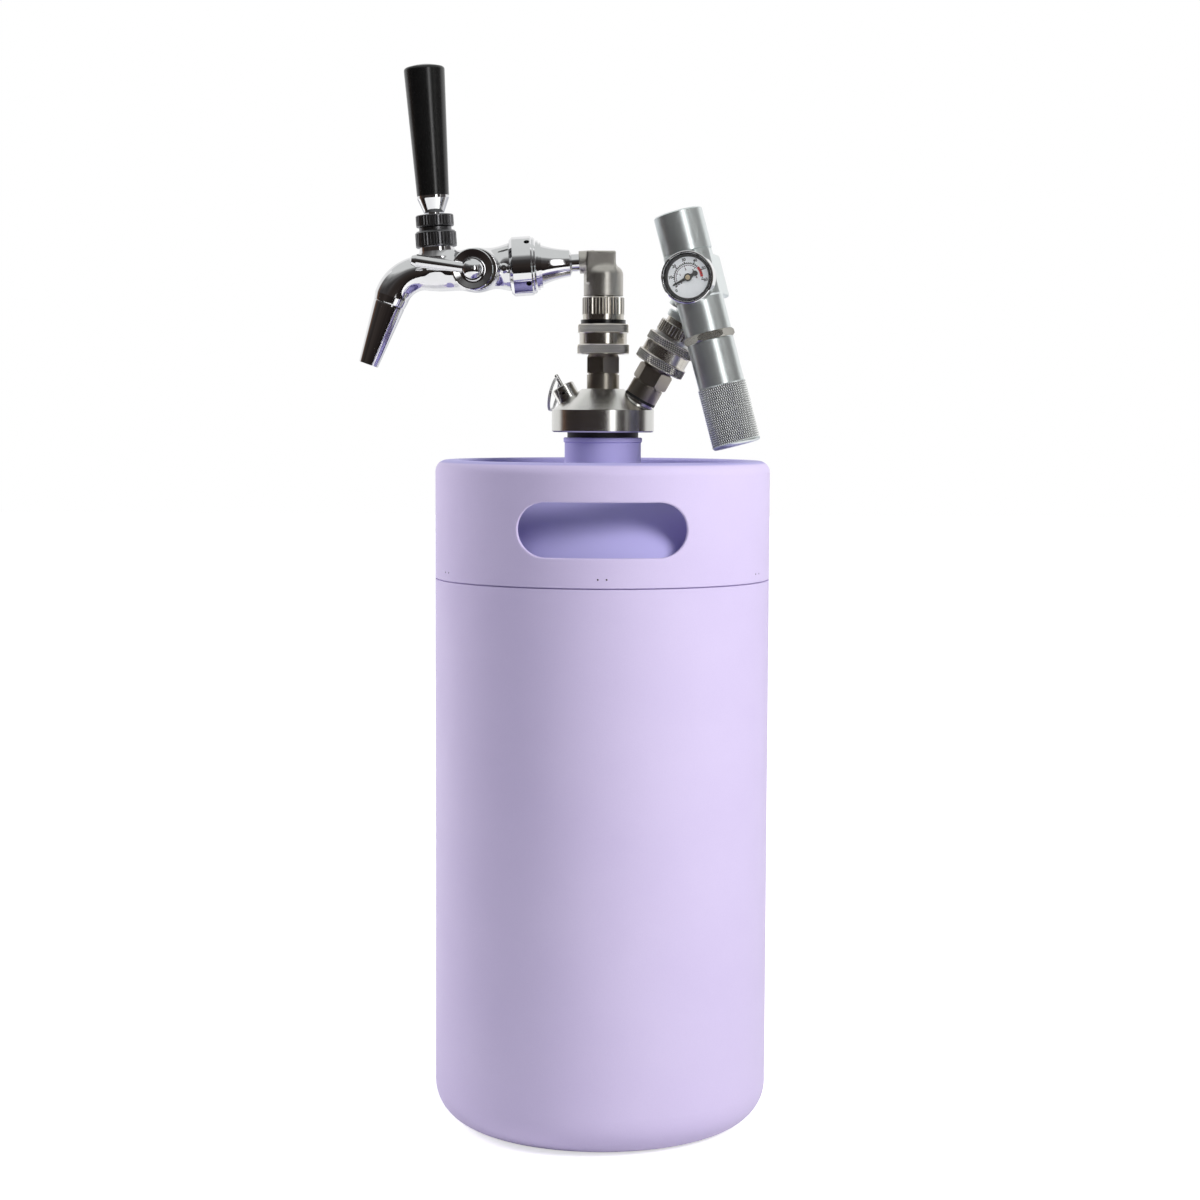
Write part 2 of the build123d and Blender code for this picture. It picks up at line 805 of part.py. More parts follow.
def stop_ring():
    """Snap ring that keeps the collar on the skirt."""
    low = cam_low - stop_ring_t - sliding
    return tube(collar_bore_r - stop_ring_in, skirt_r - stop_groove, low, cam_low - sliding)


def collar():
    """Sliding lock collar: two grip flanges outside, a cam land inside."""
    low = collar_low
    top = collar_top
    f0 = low + collar_flange_low_h
    f1 = top - collar_flange_high_h
    r0 = collar_flange_low_r
    r1 = collar_flange_high_r
    bore = collar_bore_r
    return turned([
        (bore, low), (r0 - edge, low), (r0, low + edge), (r0, f0 - edge), (r0 - edge, f0),
        (collar_waist_r, f0), (collar_waist_r, f1), (r1 - edge, f1), (r1, f1 + edge), (r1, top - edge),
        (r1 - edge, top), (bore, top), (bore, cam_low + cam_h), (cam_r, cam_low + cam_h),
        (cam_r, cam_low), (bore, cam_low)])


def marker_ring():
    """Coloured ring that rides on the collar's top."""
    return tube(marker_r, nut_flute_r + skin_gap, collar_top, collar_top + marker_h)


def collar_spring(top):
    """Sleeve in the place of the collar's coil spring, at its pressed length."""
    return tube(cam_r + spring_wall, cam_r, top - spring_len, top)


def cover_nut(low, band_h, flute_h, neck):
    """Fluted nut screwed over the socket's top."""
    band_top = low + band_h
    top = band_top + flute_h
    roof = low + nut_thread_len
    bore = nut_thread_r + running
    nut = turned([
        (bore, low), (nut_band_r, low), (nut_band_r, band_top), (nut_flute_r, band_top),
        (nut_flute_r, top - edge), (nut_flute_r - edge, top), (neck + running, top), (neck + running, roof),
        (bore, roof)])
    return fluted(nut, nut_flute_r, band_top + face_gap, top + 1, nut_flutes)


def prv_body():
    """Relief valve casing with a cross vent."""
    stem_hole = prv_stem_r + running
    stud = prv_stud_r - running
    roof = prv_h - prv_roof
    casing = turned([
        (stem_hole, roof), (stem_hole, prv_h), (prv_r - edge, prv_h), (prv_r, prv_h - edge), (prv_r, 0),
        (stud, 0), (stud, -prv_stud_len), (prv_inlet_r, -prv_stud_len), (prv_inlet_r, edge),
        (prv_chamber_r, edge), (prv_chamber_r, roof)])
    return casing - Pos(0, 0, prv_h * prv_vent_at) * Rot(90, 0, 0) * Cylinder(prv_vent_r, prv_r * 3)


def prv_stem():
    """Relief valve stem with its disc below and an eye above."""
    top = prv_h + prv_stem_out
    disc_r = prv_chamber_r - prv_disc_in
    stem = turned([
        (0, -2), (prv_plug_r0, -2), (prv_plug_r1, edge), (disc_r, edge), (disc_r, edge + prv_disc_t),
        (prv_stem_r, edge + prv_disc_t), (prv_stem_r, top - prv_tip_edge),
        (prv_stem_r - prv_tip_edge, top), (0, top)])
    return stem - Pos(0, 0, top - prv_eye_drop) * Rot(90, 0, 0) * Cylinder(prv_eye_r, prv_stem_r * 3)


def prv_spring():
    """Sleeve in the place of the relief valve's spring, at its pressed length."""
    low = edge + prv_disc_t + prv_lift
    return tube(prv_chamber_r - prv_spring_in, prv_stem_r + edge, low, prv_h - prv_roof)


def prv_ring():
    """Pull ring hung through the stem's eye."""
    eye_z = prv_h + prv_stem_out - prv_eye_drop
    hoop = Rot(0, 90, 0) * Torus(prv_hoop_r, prv_wire_r)
    return Pos(0, 0, eye_z) * Rot(0, prv_tilt + prv_hoop_lean, 0) * Pos(0, 0, -prv_hoop_r) * hoop


def elbow_head():
    """Swivelling elbow: round head, cube and threaded side port."""
    low = head_low
    bore = swivel_r + running
    shoulder = low + head_dome_h - head_shoulder_drop
    head = turned([
        (0, low), (head_r, low), (head_r, low + head_cyl_h), (head_shoulder_r, shoulder),
        (head_dome_r, low + head_dome_h), (0, low + head_dome_h)])
    cube = bar(-cube_front_x, cube_back_x, -cube_half_y, cube_half_y, low + cube_low_h, low + cube_top_h)
    body = head + fillet(cube.edges(), edge) + tap_frame * rod(port_ring_r, cube_front_x / 2, port_u)
    body = body - rod(bore, low - cut_over, swivel_top) - rod(water_r, swivel_top - 1, port_z)
    return body - tap_frame * rod(port_bore_r + running, -water_r / 2, port_u + cut_over)


def shank_adapter():
    """Tapered adapter from the elbow's port to the tap."""
    s = adapter_small_u
    b = adapter_big_u
    lip = nut_u + coupling_lip
    foot = adapter_small_r - edge
    mid = ((foot + adapter_big_r) / 2 - adapter_hollow, (s + b) / 2)
    return turned_edges(path(
        (adapter_bore_r, port_u - adapter_tail), (port_bore_r, port_u - adapter_tail), (port_bore_r, port_u),
        (adapter_stub_r, port_u), (adapter_stub_r, s - adapter_shoulder), (foot, s),
        ThreePointArc((foot, s), mid, (adapter_big_r, b)), (adapter_big_r, lip), (adapter_flange_r, lip),
        (adapter_flange_r, gasket_u), (adapter_bore_r, gasket_u), (adapter_bore_r, port_u - adapter_tail)))


def nut_retainer():
    """Stepped ring that keeps the coupling nut on the adapter."""
    low = adapter_big_u
    step = low + retainer_w / 2
    return turned([
        (adapter_big_r, low), (retainer_r - retainer_step, low), (retainer_r - retainer_step, step),
        (retainer_r, step), (retainer_r, low + retainer_w), (adapter_big_r, low + retainer_w)])


def coupling_nut():
    """Coupling nut with a stepped nose and spanner holes."""
    u1 = nut_u + coupling_len
    e = coupling_edge
    r = coupling_r
    lip = nut_u + coupling_lip
    neck = adapter_big_r + running
    nut = turned([
        (neck, nut_u), (r - 2 * e, nut_u), (r - e, nut_u + e), (r - e, nut_u + 2 * e), (r, nut_u + 3 * e),
        (r, u1 - 2 * e), (r - 2 * e, u1), (thread_r + running, u1), (thread_r + running, lip), (neck, lip)])
    hole = Pos(r, 0, nut_u + spanner_in) * Rot(0, 90, 0) * Cylinder(spanner_r, spanner_depth * 2)
    return nut - [Rot(0, 0, a - 90) * hole for a in spanner_turns]


def shank_gasket():
    """Flat washer between the adapter and the tap."""
    return tube(thread_r - gasket_in, inlet_r, gasket_u, faucet_u)


def faucet_body():
    """Tap body: threaded end, valve chamber, lever neck, flow boss and bent spout arm."""
    shank_end = faucet_u + thread_len
    flare = (flare_r, shank_end)
    waist = (body_r, faucet_u + body_waist)
    hollow = ((flare[0] + waist[0]) / 2 - flare_hollow, (flare[1] + waist[1]) / 2)
    outside = turned_edges(path(
        (0, faucet_u), (thread_r, faucet_u), (thread_r, shank_end), flare,
        ThreePointArc(flare, hollow, waist), (body_r, lever_u - 2), (arm_r, bend_u), (0, bend_u),
        (0, faucet_u)))
    hinge = Axis((-bend_r, 0, bend_u), (0, -1, 0))
    bend = revolve(Pos(0, 0, bend_u) * Circle(arm_r), hinge, bend_turn)
    end = spout_frame * turned([(0, -spout_lead), (arm_r, -spout_lead), (spout_top_r, 0), (0, 0)])
    spigot = spout_frame * rod(spout_spigot_r, -edge, spigot_len)
    neck = lever_frame * turned([
        (0, -pivot_v), (pivot_skirt_r, -pivot_v), (pivot_skirt_r, -pivot_skirt_low), (pivot_neck_r, -3),
        (pivot_neck_r, pivot_neck_top), (0, pivot_neck_top)])
    boss = Pos(-flow_drop, 0, faucet_u + boss_back) * Rot(90, 0, 0) * turned([
        (0, 0), (boss_r, 0), (boss_r, boss_y - boss_edge), (boss_r - boss_edge, boss_y), (0, boss_y)])
    body = outside + bend + end + spigot + neck + boss
    chamber = turned([
        (0, faucet_u - cut_over), (inlet_r, faucet_u - cut_over), (inlet_r, faucet_u + inlet_len),
        (chamber_r, faucet_u + inlet_len + inlet_cone), (chamber_r, seat_u), (0, seat_u)])
    way = rod(spout_bore_r, seat_u - edge, bend_u)
    way = way + revolve(Pos(0, 0, bend_u) * Circle(spout_bore_r), hinge, bend_turn)
    way = way + spout_frame * rod(spout_bore_r, -spout_lead, spigot_len + cut_over)
    well = lever_frame * rod(pivot_well_r, -pivot_well, pivot_neck_top + cut_over)
    tail_way = lever_frame * rod(tail_way_r, -pivot_v, 0)
    shaft_way = flow_frame * rod(flow_shaft_r + running, 0, boss_y + cut_over)
    pin_way = pin_frame * rod(pin_r, body_r - pin_sink, body_r * 2)
    return body - chamber - way - well - tail_way - shaft_way - pin_way


def stop_pin():
    """Domed pin beside the coupling nut."""
    top = body_r + pin_out
    return pin_frame * turned([
        (0, body_r - pin_sink), (pin_r, body_r - pin_sink), (pin_r, top - pin_dome),
        (pin_r * 0.6, top - pin_flat), (0, top)])


def spout():
    """Removable tapered spout."""
    bore = spout_spigot_r + running
    return turned([
        (bore, 0), (spout_top_r, 0), (spout_top_r, 1), (spout_tip_r, spout_len), (spout_bore_r, spout_len),
        (spout_bore_r, spigot_len), (bore, spigot_len)])


def ball_seal():
    """Seal cup that the lever's ball turns in."""
    return tube(pivot_well_r - running, cup_hole_r, -pivot_well, 0) - Sphere(lever_ball_r + running)


def bonnet():
    """Fluted bonnet: screws on the lever neck and holds the ball down."""
    ball = lever_ball_r + running
    seat_r = math.sqrt(ball ** 2 - bonnet_seat ** 2)
    foot_z = math.sqrt(bonnet_dome_r ** 2 - bonnet_dome_foot_r ** 2)
    hole_z = math.sqrt(bonnet_dome_r ** 2 - bonnet_hole_r ** 2)
    rim_z = bonnet_shoulder + bonnet_r - bonnet_rim_r
    bore = pivot_neck_r + running
    plug = pivot_well_r - running
    body = turned_edges(path(
        (bore, -bonnet_low), (bonnet_r - edge, -bonnet_low), (bonnet_r, edge - bonnet_low),
        (bonnet_r, bonnet_shoulder), (bonnet_rim_r, rim_z), (bonnet_dome_foot_r, rim_z),
        (bonnet_dome_foot_r, foot_z),
        round_arc((bonnet_dome_foot_r, foot_z), (0, 0), (bonnet_hole_r, hole_z)),
        (seat_r, bonnet_seat), round_arc((seat_r, bonnet_seat), (0, 0), (ball, 0)), (plug, 0),
        (plug, pivot_neck_top), (bore, pivot_neck_top), (bore, -bonnet_low)))
    return fluted(body, bonnet_r, edge, bonnet_shoulder - face_gap, bonnet_flutes)


def lever():
    """Ball lever: threaded stem above the ball, tip below it in the shuttle."""
    stem = rod(lever_stem_r, 0, ferrule_low + ferrule_h + handle_bore - 4)
    tail = rod(lever_tail_r, -pivot_v, 0)
    return Sphere(lever_ball_r) + stem + tail + Pos(0, 0, -pivot_v) * Sphere(lever_tip_r)


def lock_collar():
    """Fluted locking collar on the lever's stem, dished over the bonnet's dome."""
    top = lock_low + lock_h
    body = turned([
        (lever_stem_r, lock_low), (lock_r - edge, lock_low), (lock_r, lock_low + edge), (lock_r, top - edge),
        (lock_r - edge, top), (lever_stem_r, top)])
    body = fluted(body, lock_r, lock_low + edge + face_gap, top - edge - face_gap, bonnet_flutes)
    return body - Sphere(bonnet_dome_r + face_gap)


def ferrule():
    """Polished cone under the handle."""
    top = ferrule_low + ferrule_h
    return turned([
        (lever_stem_r, ferrule_low), (ferrule_low_r, ferrule_low),
        (ferrule_low_r + ferrule_foot, ferrule_low + 1), (handle_low_r, top - ferrule_band),
        (handle_low_r, top), (lever_stem_r, top)])


def handle():
    """Tapered handle with a crowned top."""
    low = ferrule_low + ferrule_h
    top = low + handle_len
    r = handle_top_r
    e = handle_edge
    shoulder = top - handle_crown
    crown_r = ((r - e) ** 2 + handle_crown ** 2) / (2 * handle_crown)
    return turned_edges(path(
        (lever_stem_r, low), (handle_low_r, low), (r, shoulder - e),
        round_arc((r, shoulder - e), (r - e, shoulder - e), (r - e, shoulder)),
        round_arc((r - e, shoulder), (0, top - crown_r), (0, top)),
        (0, low + handle_bore), (lever_stem_r, low + handle_bore), (lever_stem_r, low)))


def shuttle():
    """Valve shuttle: flatted guide, slot for the lever's tip and a round nose."""
    f = shuttle_flat
    back = lever_u - shuttle_back
    nose = lever_u + shuttle_nose
    keep = bar(-f, f, -f, f, back, nose) + rod(chamber_r, nose - shuttle_nose_t, nose)
    body = rod(chamber_r - running, back, nose) & keep
    r = lever_tip_r + sliding
    slot = Pos(0, 0, lever_u) * Rot(0, 90, 0) * Cylinder(r, chamber_r * 2)
    fore = bar(0, chamber_r, -r, r, lever_u, lever_u + shuttle_slot_fore)
    return body - slot - fore


def shuttle_seal():
    """Forward seal on the shuttle's nose."""
    return tube(nose_seal_out, nose_seal_in, lever_u + shuttle_nose, seat_u)


def compensator():
    """Flow compensator: cone, guide, stem and a slotted tail for the control's pin."""
    tip = flow_u - comp_nose
    cone_end = tip + comp_cone
    guide = chamber_r - running
    tail = flow_u - comp_tail_back
    end = flow_u + comp_tail_fore
    f = shuttle_flat
    body = turned([
        (0, tip), (comp_tip_r - edge, tip), (comp_tip_r, tip + edge), (comp_cone_r, cone_end),
        (guide, cone_end), (guide, cone_end + comp_guide), (comp_stem_r, cone_end + comp_guide + 2),
        (comp_stem_r, tail), (guide, tail), (guide, end), (0, end)])
    body = body & (bar(-f, f, -f, f, cone_end, end + 1) + rod(chamber_r, tip - 1, cone_end))
    half = flow_pin_r + sliding
    slot_u = flow_u + flow_pin_e * math.cos(math.radians(flow_pin_turn))
    slot = bar(-chamber_r, chamber_r, -chamber_r, comp_slot_depth - chamber_r, slot_u - half, slot_u + half)
    return body - slot


def flow_knob():
    """Flow control: dished disc, ball, tapered arm, shaft and eccentric pin."""
    low = boss_y + flow_washer_t
    top = low + disc_t
    floor = top - disc_dish
    disc = turned([
        (0, low), (disc_r - edge, low), (disc_r, low + edge), (disc_r, top - edge), (disc_r - edge, top),
        (disc_dish_r, top), (flow_ball_r * 0.7, floor), (0, floor)])
    shaft = rod(flow_shaft_r, chamber_r + face_gap, low + edge)
    turn = math.radians(flow_pin_turn)
    pin_x = flow_pin_e * math.sin(turn)
    pin_y = flow_pin_e * math.cos(turn)
    pin = Pos(pin_x, pin_y, 0) * rod(flow_pin_r, chamber_r - flow_pin_reach, chamber_r + edge)
    tip = flow_arm_len
    arm = turned([
        (0, 0), (flow_arm_r0, 0), (flow_arm_r1, tip - flow_arm_r1), (flow_arm_r1 * 0.7, tip - flow_tip_h),
        (flow_arm_r1 * 0.3, tip - flow_tip_flat), (0, tip)])
    ball_z = top + flow_ball_sink
    arm = Pos(0, 0, ball_z) * Rot(-90, 0, 0) * Rot(0, flow_arm_turn, 0) * arm
    ball = Pos(0, 0, ball_z) * Sphere(flow_ball_r) & rod(disc_r, low, ball_z + flow_ball_r)
    return disc + ball + shaft + pin + arm


def flow_washer():
    """Washer between the flow control's disc and its boss."""
    return tube(disc_r - flow_washer_in, flow_shaft_r + sliding, boss_y, boss_y + flow_washer_t)


def gas_swivel():
    """Swivel stem from the gas disconnect into the regulator's port."""
    low = gas_nut_top + gas_neck_rise
    ring_top = low + gas_swivel_ring_h
    end = ring_top + gas_stem_len
    foot = low - gas_spigot_len + face_gap
    r = gas_swivel_ring_r
    return turned([
        (gas_way_r, foot), (swivel_r, foot), (swivel_r, low + sliding), (r - edge, low + sliding),
        (r, low + edge + sliding), (r, ring_top - edge), (r - edge, ring_top), (gas_stem_r, ring_top),
        (gas_stem_r, end), (gas_way_r, end)])


def regulator_body():
    """Regulator body: gauge cube, barrel, male thread and rear port block."""
    barrel = turned([
        (0, cube_top_s), (cube_r, cube_top_s), (cube_r, cube_low_s + 1), (barrel_r, cube_low_s),
        (barrel_r, barrel_low_s), (male_r, barrel_low_s), (male_r, male_end_s), (range_bore_r, male_end_s),
        (range_bore_r, piston_s + piston_t), (0, piston_s + piston_t)])
    keep = bar(-cube_r, cube_flat, -cube_flat, cube_r, cube_low_s, cube_top_s)
    barrel = barrel & (keep + rod(cube_r, male_end_s, cube_low_s))
    back = reg_front + rear_behind
    rear = bar(-rear_half_x, rear_half_x, 0, back, cube_low_s, cube_top_s - rear_edge)
    rear = fillet(rear.edges().filter_by(Axis.Y), rear_edge)
    face = port_face_a - cross_a
    boss = port_frame * rod(port_boss_r, face, port_boss_end)
    boss = boss & bar(-cross_a, cross_a, reg_front - rear_behind, back, -cross_a, cross_a)
    body = barrel + rear + boss
    stem_end = gas_nut_top + gas_neck_rise + gas_swivel_ring_h + gas_stem_len + gas_ring_h - cross_a
    body = body - port_frame * rod(gas_stem_r + running, face - 1, stem_end)
    body = body - port_frame * rod(gas_way_r, stem_end - 1, 0)
    body = body - Pos(0, reg_front, cross_s) * Rot(90, 0, 0) * rod(gas_way_r, 0, reg_front)
    body = body - rod(gas_way_r, piston_s, cube_top_s + cut_over)
    stem_room = cube_flat - gauge_stem_in
    body = body - gauge_frame * rod(gauge_stem_r, stem_room, cube_r + cut_over)
    return body - gauge_frame * rod(gauge_way_r, 0, stem_room + 1)


def cartridge_holder():
    """Threaded socket for the gas cartridge."""
    low = cube_top_s
    top = holder_top_s
    ledge = top - cartridge_len
    floor = ledge - cartridge_head_room
    e = holder_edge
    return turned([
        (gas_way_r, low), (holder_r - edge, low), (holder_r, low + edge), (holder_r, top - e),
        (holder_r - e, top), (cartridge_r + 1, top), (cartridge_r, top - 1), (cartridge_r, ledge),
        (cartridge_head_r, ledge), (cartridge_head_r, floor), (gas_way_r, floor)])


def piercing_pin():
    """Hollow pin that pierces the gas cartridge."""
    floor = holder_top_s - cartridge_len - cartridge_head_room
    flange = floor + pierce_flange_t
    tip = flange + pierce_tip
    return turned([
        (pierce_way_r, floor - pierce_stem), (gas_way_r, floor - pierce_stem), (gas_way_r, floor),
        (pierce_flange_r, floor), (pierce_flange_r, flange), (pierce_r, flange), (pierce_r, tip),
        (pierce_way_r, tip + pierce_slant)])


def regulator_piston():
    """Sensing piston over the range spring."""
    top = piston_s + piston_t - edge
    return rod(range_bore_r - sliding, piston_s, top) - rod(piston_well_r, piston_s - 1, piston_s + 2)


def range_spring():
    """Sleeve in the place of the range spring, at its pressed length."""
    r = range_spring_r
    return tube(r, r - range_spring_wall, knob_floor_s + button_t, piston_s)


def spring_button():
    """Button between the knob and the range spring: it slides and doesn't turn."""
    low = knob_floor_s
    neck_r = range_spring_r - range_spring_wall - sliding * 2
    top = low + button_t + button_neck
    head_r = range_bore_r - sliding
    return turned([
        (0, low), (head_r, low), (head_r, low + button_t), (neck_r, low + button_t), (neck_r, top), (0, top)])


def lock_nut():
    """Thin hexagon nut that locks the knob."""
    nut = hex_bar(locknut_flat, locknut_low_s, barrel_low_s, locknut_clock)
    return nut - rod(male_r + running, locknut_low_s - 1, barrel_low_s + 1)


def adjusting_knob():
    """Adjusting knob: smooth sleeve and grip, screwed over the barrel's thread."""
    low = knob_low_s
    top = locknut_low_s
    e = grip_edge
    bore = male_r + running
    r = grip_r
    return turned_edges(path(
        (0, low), (r - e, low), round_arc((r - e, low), (r - e, low + e), (r, low + e)), (r, seam_s),
        (sleeve_r, seam_s + face_gap), (sleeve_r, top - edge), (sleeve_r - edge, top), (bore, top),
        (bore, knob_floor_s), (0, knob_floor_s), (0, low)))


def gauge_case():
    """Gauge cup with its threaded stem and a rolled rim round the window."""
    stem_in = cube_flat - gauge_stem_in
    floor = gauge_back + gauge_floor
    return turned([
        (gauge_way_r, stem_in), (gauge_stem_r, stem_in), (gauge_stem_r, gauge_back),
        (gauge_r - edge, gauge_back), (gauge_r, gauge_back + edge), (gauge_r, gauge_face - edge),
        (gauge_r - edge, gauge_face), (gauge_in_r + gauge_mouth_edge, gauge_face),
        (gauge_in_r, gauge_face - edge), (gauge_in_r, floor), (gauge_way_r, floor)])


def gauge_dial():
    """Dial plate with its raised rim, on a pillar."""
    outer = gauge_in_r - running
    plate = rod(outer, dial_y - dial_t, dial_y)
    rim = tube(outer, dial_r, dial_y, lens_low)
    pillar = rod(pillar_r, gauge_back + gauge_floor, dial_y)
    hole = rod(axle_r + running, dial_y - axle_len - face_gap, dial_y + 1)
    return plate + rim + pillar - hole


def gauge_needle():
    """Needle with its hub, tail and axle."""
    low = dial_y + needle_gap
    w = needle_w / 2
    tip = needle_tip_w / 2
    vane = Polyline((0, -w * needle_root), (needle_len, -tip), (needle_len, tip), (0, w * needle_root),
                    (-needle_tail, w), (-needle_tail, -w), close=True)
    blade = Pos(0, 0, low) * extrude(make_face(vane), needle_t)
    blob = Pos(-needle_tail, 0, 0) * rod(needle_blob_r, low, low + needle_t)
    axle = rod(axle_r, dial_y - axle_len, low + needle_t)
    return Rot(0, 0, needle_rest) * (blade + blob + rod(hub_r, low, low + hub_t) + axle)


def gauge_lens():
    """Clear window of the gauge."""
    return rod(gauge_in_r - running, lens_low, lens_low + lens_t)


def keg_pieces():
    """Keg, lid and relief valve."""
    return {
        "outer_shell": outer_shell(),
        "inner_vessel": inner_vessel(),
        "handle_ring": handle_ring(),
        "lid": lid(),
        "lid_seal": lid_seal(),
        "prv_body": prv_frame * prv_body(),
        "prv_stem": prv_frame * prv_stem(),
        "prv_spring": prv_frame * prv_spring(),
        "prv_ring": prv_frame * prv_ring(),
    }


def both(shape):
    """The same piece on the liquid and on the gas post."""
    return [liquid_frame * shape, gas_frame * shape]


def post_pieces():
    """Posts and quick disconnects."""
    vessel_floor = sheet + vacuum_gap + inner_sheet
    tube_end = vessel_floor + liquid_tube_floor - lid_top_z
    balls = lock_balls()
    return {
        "liquid_post": liquid_frame * post(),
        "gas_post": gas_frame * post(),
        "gas_seat_ring": gas_seat * tube(post_base_r + sliding, post_stud_r, 0, gas_ring_h),
        "post_rings": both(post_ring()),
        "poppets": both(poppet()),
        "poppet_springs": both(poppet_spring()),
        "dip_tube": liquid_frame * dip_tube(tube_end),
        "gas_tube": gas_frame * dip_tube(-gas_tube_len),
        "liquid_socket": liquid_frame * socket(liquid_nut_low, swivel_r, swivel_top - neck_land - lid_top_z),
        "gas_socket": gas_frame * gas_socket(),
        "probes": both(probe()),
        "lock_balls": [liquid_frame * b for b in balls] + [gas_frame * b for b in balls],
        "stop_rings": both(stop_ring()),
        "liquid_collar": liquid_frame * collar(),
        "gas_collar": gas_frame * collar(),
        "marker_ring": liquid_frame * marker_ring(),
        "collar_springs": [
            liquid_frame * collar_spring(liquid_nut_low), gas_frame * collar_spring(gas_nut_low)],
        "liquid_cover_nut": liquid_frame * cover_nut(liquid_nut_low, liquid_band_h, liquid_flute_h, swivel_r),
        "gas_cover_nut": gas_frame * cover_nut(gas_nut_low, gas_band_h, gas_flute_h, gas_neck_r),
    }


def tap_pieces():
    """Elbow and tap."""
    lever_place = tap_frame * lever_frame
    flow_place = tap_frame * flow_frame
    return {
        "elbow_head": elbow_head(),
        "shank_adapter": tap_frame * shank_adapter(),
        "nut_retainer": tap_frame * nut_retainer(),
        "coupling_nut": tap_frame * coupling_nut(),
        "shank_gasket": tap_frame * shank_gasket(),
        "faucet_body": tap_frame * faucet_body(),
        "stop_pin": tap_frame * stop_pin(),
        "spout": tap_frame * spout_frame * spout(),
        "ball_seal": lever_place * ball_seal(),
        "bonnet": lever_place * bonnet(),
        "lever": lever_place * lever(),
        "lock_collar": lever_place * lock_collar(),
        "ferrule": lever_place * ferrule(),
        "handle": lever_place * handle(),
        "shuttle": tap_frame * shuttle(),
        "shuttle_seal": tap_frame * shuttle_seal(),
        "compensator": tap_frame * compensator(),
        "flow_knob": flow_place * flow_knob(),
        "flow_washer": flow_place * flow_washer(),
    }


def regulator_pieces():
    """Regulator and gauge."""
    gauge_place = reg_frame * gauge_frame
    return {
        "gas_swivel": gas_frame * gas_swivel(),
        "regulator_body": reg_frame * regulator_body(),
        "cartridge_holder": reg_frame * cartridge_holder(),
        "piercing_pin": reg_frame * piercing_pin(),
        "regulator_piston": reg_frame * regulator_piston(),
        "range_spring": reg_frame * range_spring(),
        "spring_button": reg_frame * spring_button(),
        "lock_nut": reg_frame * lock_nut(),
        "adjusting_knob": reg_frame * adjusting_knob(),
        "gauge_case": gauge_place * gauge_case(),
        "gauge_dial": gauge_place * gauge_dial(),
        "gauge_needle": gauge_place * gauge_needle(),
        "gauge_lens": gauge_place * gauge_lens(),
    }


def export_pieces(pieces):
    """One STEP file for each piece or group of like pieces."""
    os.makedirs("parts", exist_ok=True)
    for name, shape in pieces.items():
        solid = Compound(children=shape) if isinstance(shape, list) else shape
        export_step(solid, f"parts/{name}.step")


export_pieces(keg_pieces())
export_pieces(post_pieces())
export_pieces(tap_pieces())
export_pieces(regulator_pieces())
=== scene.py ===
import json
import math

import bmesh
import bpy
import numpy as np
from mathutils import Matrix, Vector

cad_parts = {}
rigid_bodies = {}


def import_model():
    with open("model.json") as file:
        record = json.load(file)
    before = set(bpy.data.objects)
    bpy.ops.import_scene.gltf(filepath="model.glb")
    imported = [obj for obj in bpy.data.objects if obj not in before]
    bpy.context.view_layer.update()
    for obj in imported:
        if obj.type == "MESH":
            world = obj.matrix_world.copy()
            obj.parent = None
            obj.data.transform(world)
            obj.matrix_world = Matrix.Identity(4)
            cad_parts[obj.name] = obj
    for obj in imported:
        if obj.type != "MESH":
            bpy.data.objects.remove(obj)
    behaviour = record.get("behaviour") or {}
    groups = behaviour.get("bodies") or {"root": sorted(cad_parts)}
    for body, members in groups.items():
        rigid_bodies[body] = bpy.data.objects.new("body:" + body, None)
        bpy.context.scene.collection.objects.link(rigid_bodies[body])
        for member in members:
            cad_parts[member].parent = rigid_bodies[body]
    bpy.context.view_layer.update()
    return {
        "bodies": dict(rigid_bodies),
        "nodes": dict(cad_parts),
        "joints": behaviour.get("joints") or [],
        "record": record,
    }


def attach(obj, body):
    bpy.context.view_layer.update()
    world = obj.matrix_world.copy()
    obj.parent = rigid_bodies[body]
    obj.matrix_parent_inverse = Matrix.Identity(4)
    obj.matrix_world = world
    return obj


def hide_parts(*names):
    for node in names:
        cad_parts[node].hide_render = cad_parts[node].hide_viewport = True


# Mini keg beer dispenser: looks, floor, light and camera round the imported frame.
# Metres, keg axis on Z, base at Z = 0, tap towards -X, camera on the -Y side.

MM = 0.001
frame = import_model()
nodes = frame["nodes"]


# ------------------------------------------------ frames of the tilted groups, as the CAD has them
def shift(x, y, z):
    return Matrix.Translation((x * MM, y * MM, z * MM))


def turn(axis, degrees):
    return Matrix.Rotation(math.radians(degrees), 4, axis)


SEAM_Z = 336.3                    # weld round the upper rim of the keg's wall
LID_TOP_Z = 452.0
PORT_Z = 529.9                    # axis of the elbow's side port
lid_place = turn("Z", -12)
gas_seat = lid_place @ shift(23.0, 0, 445.5214) @ turn("Y", 30)
gas_place = gas_seat @ shift(0, 0, 1.6)
liquid_place = shift(0, 0, LID_TOP_Z) @ turn("Z", 30)
prv_place = lid_place @ shift(-21.4, 0, 446.196) @ turn("Y", -30)
reg_place = gas_seat @ shift(0, 0, 77.5) @ turn("Y", -45) @ shift(0, -24, -5.6)
gauge_place = reg_place @ shift(0, 0, 10) @ turn("X", 90)
tap_place = shift(0, 0, PORT_Z) @ turn("Y", -94)


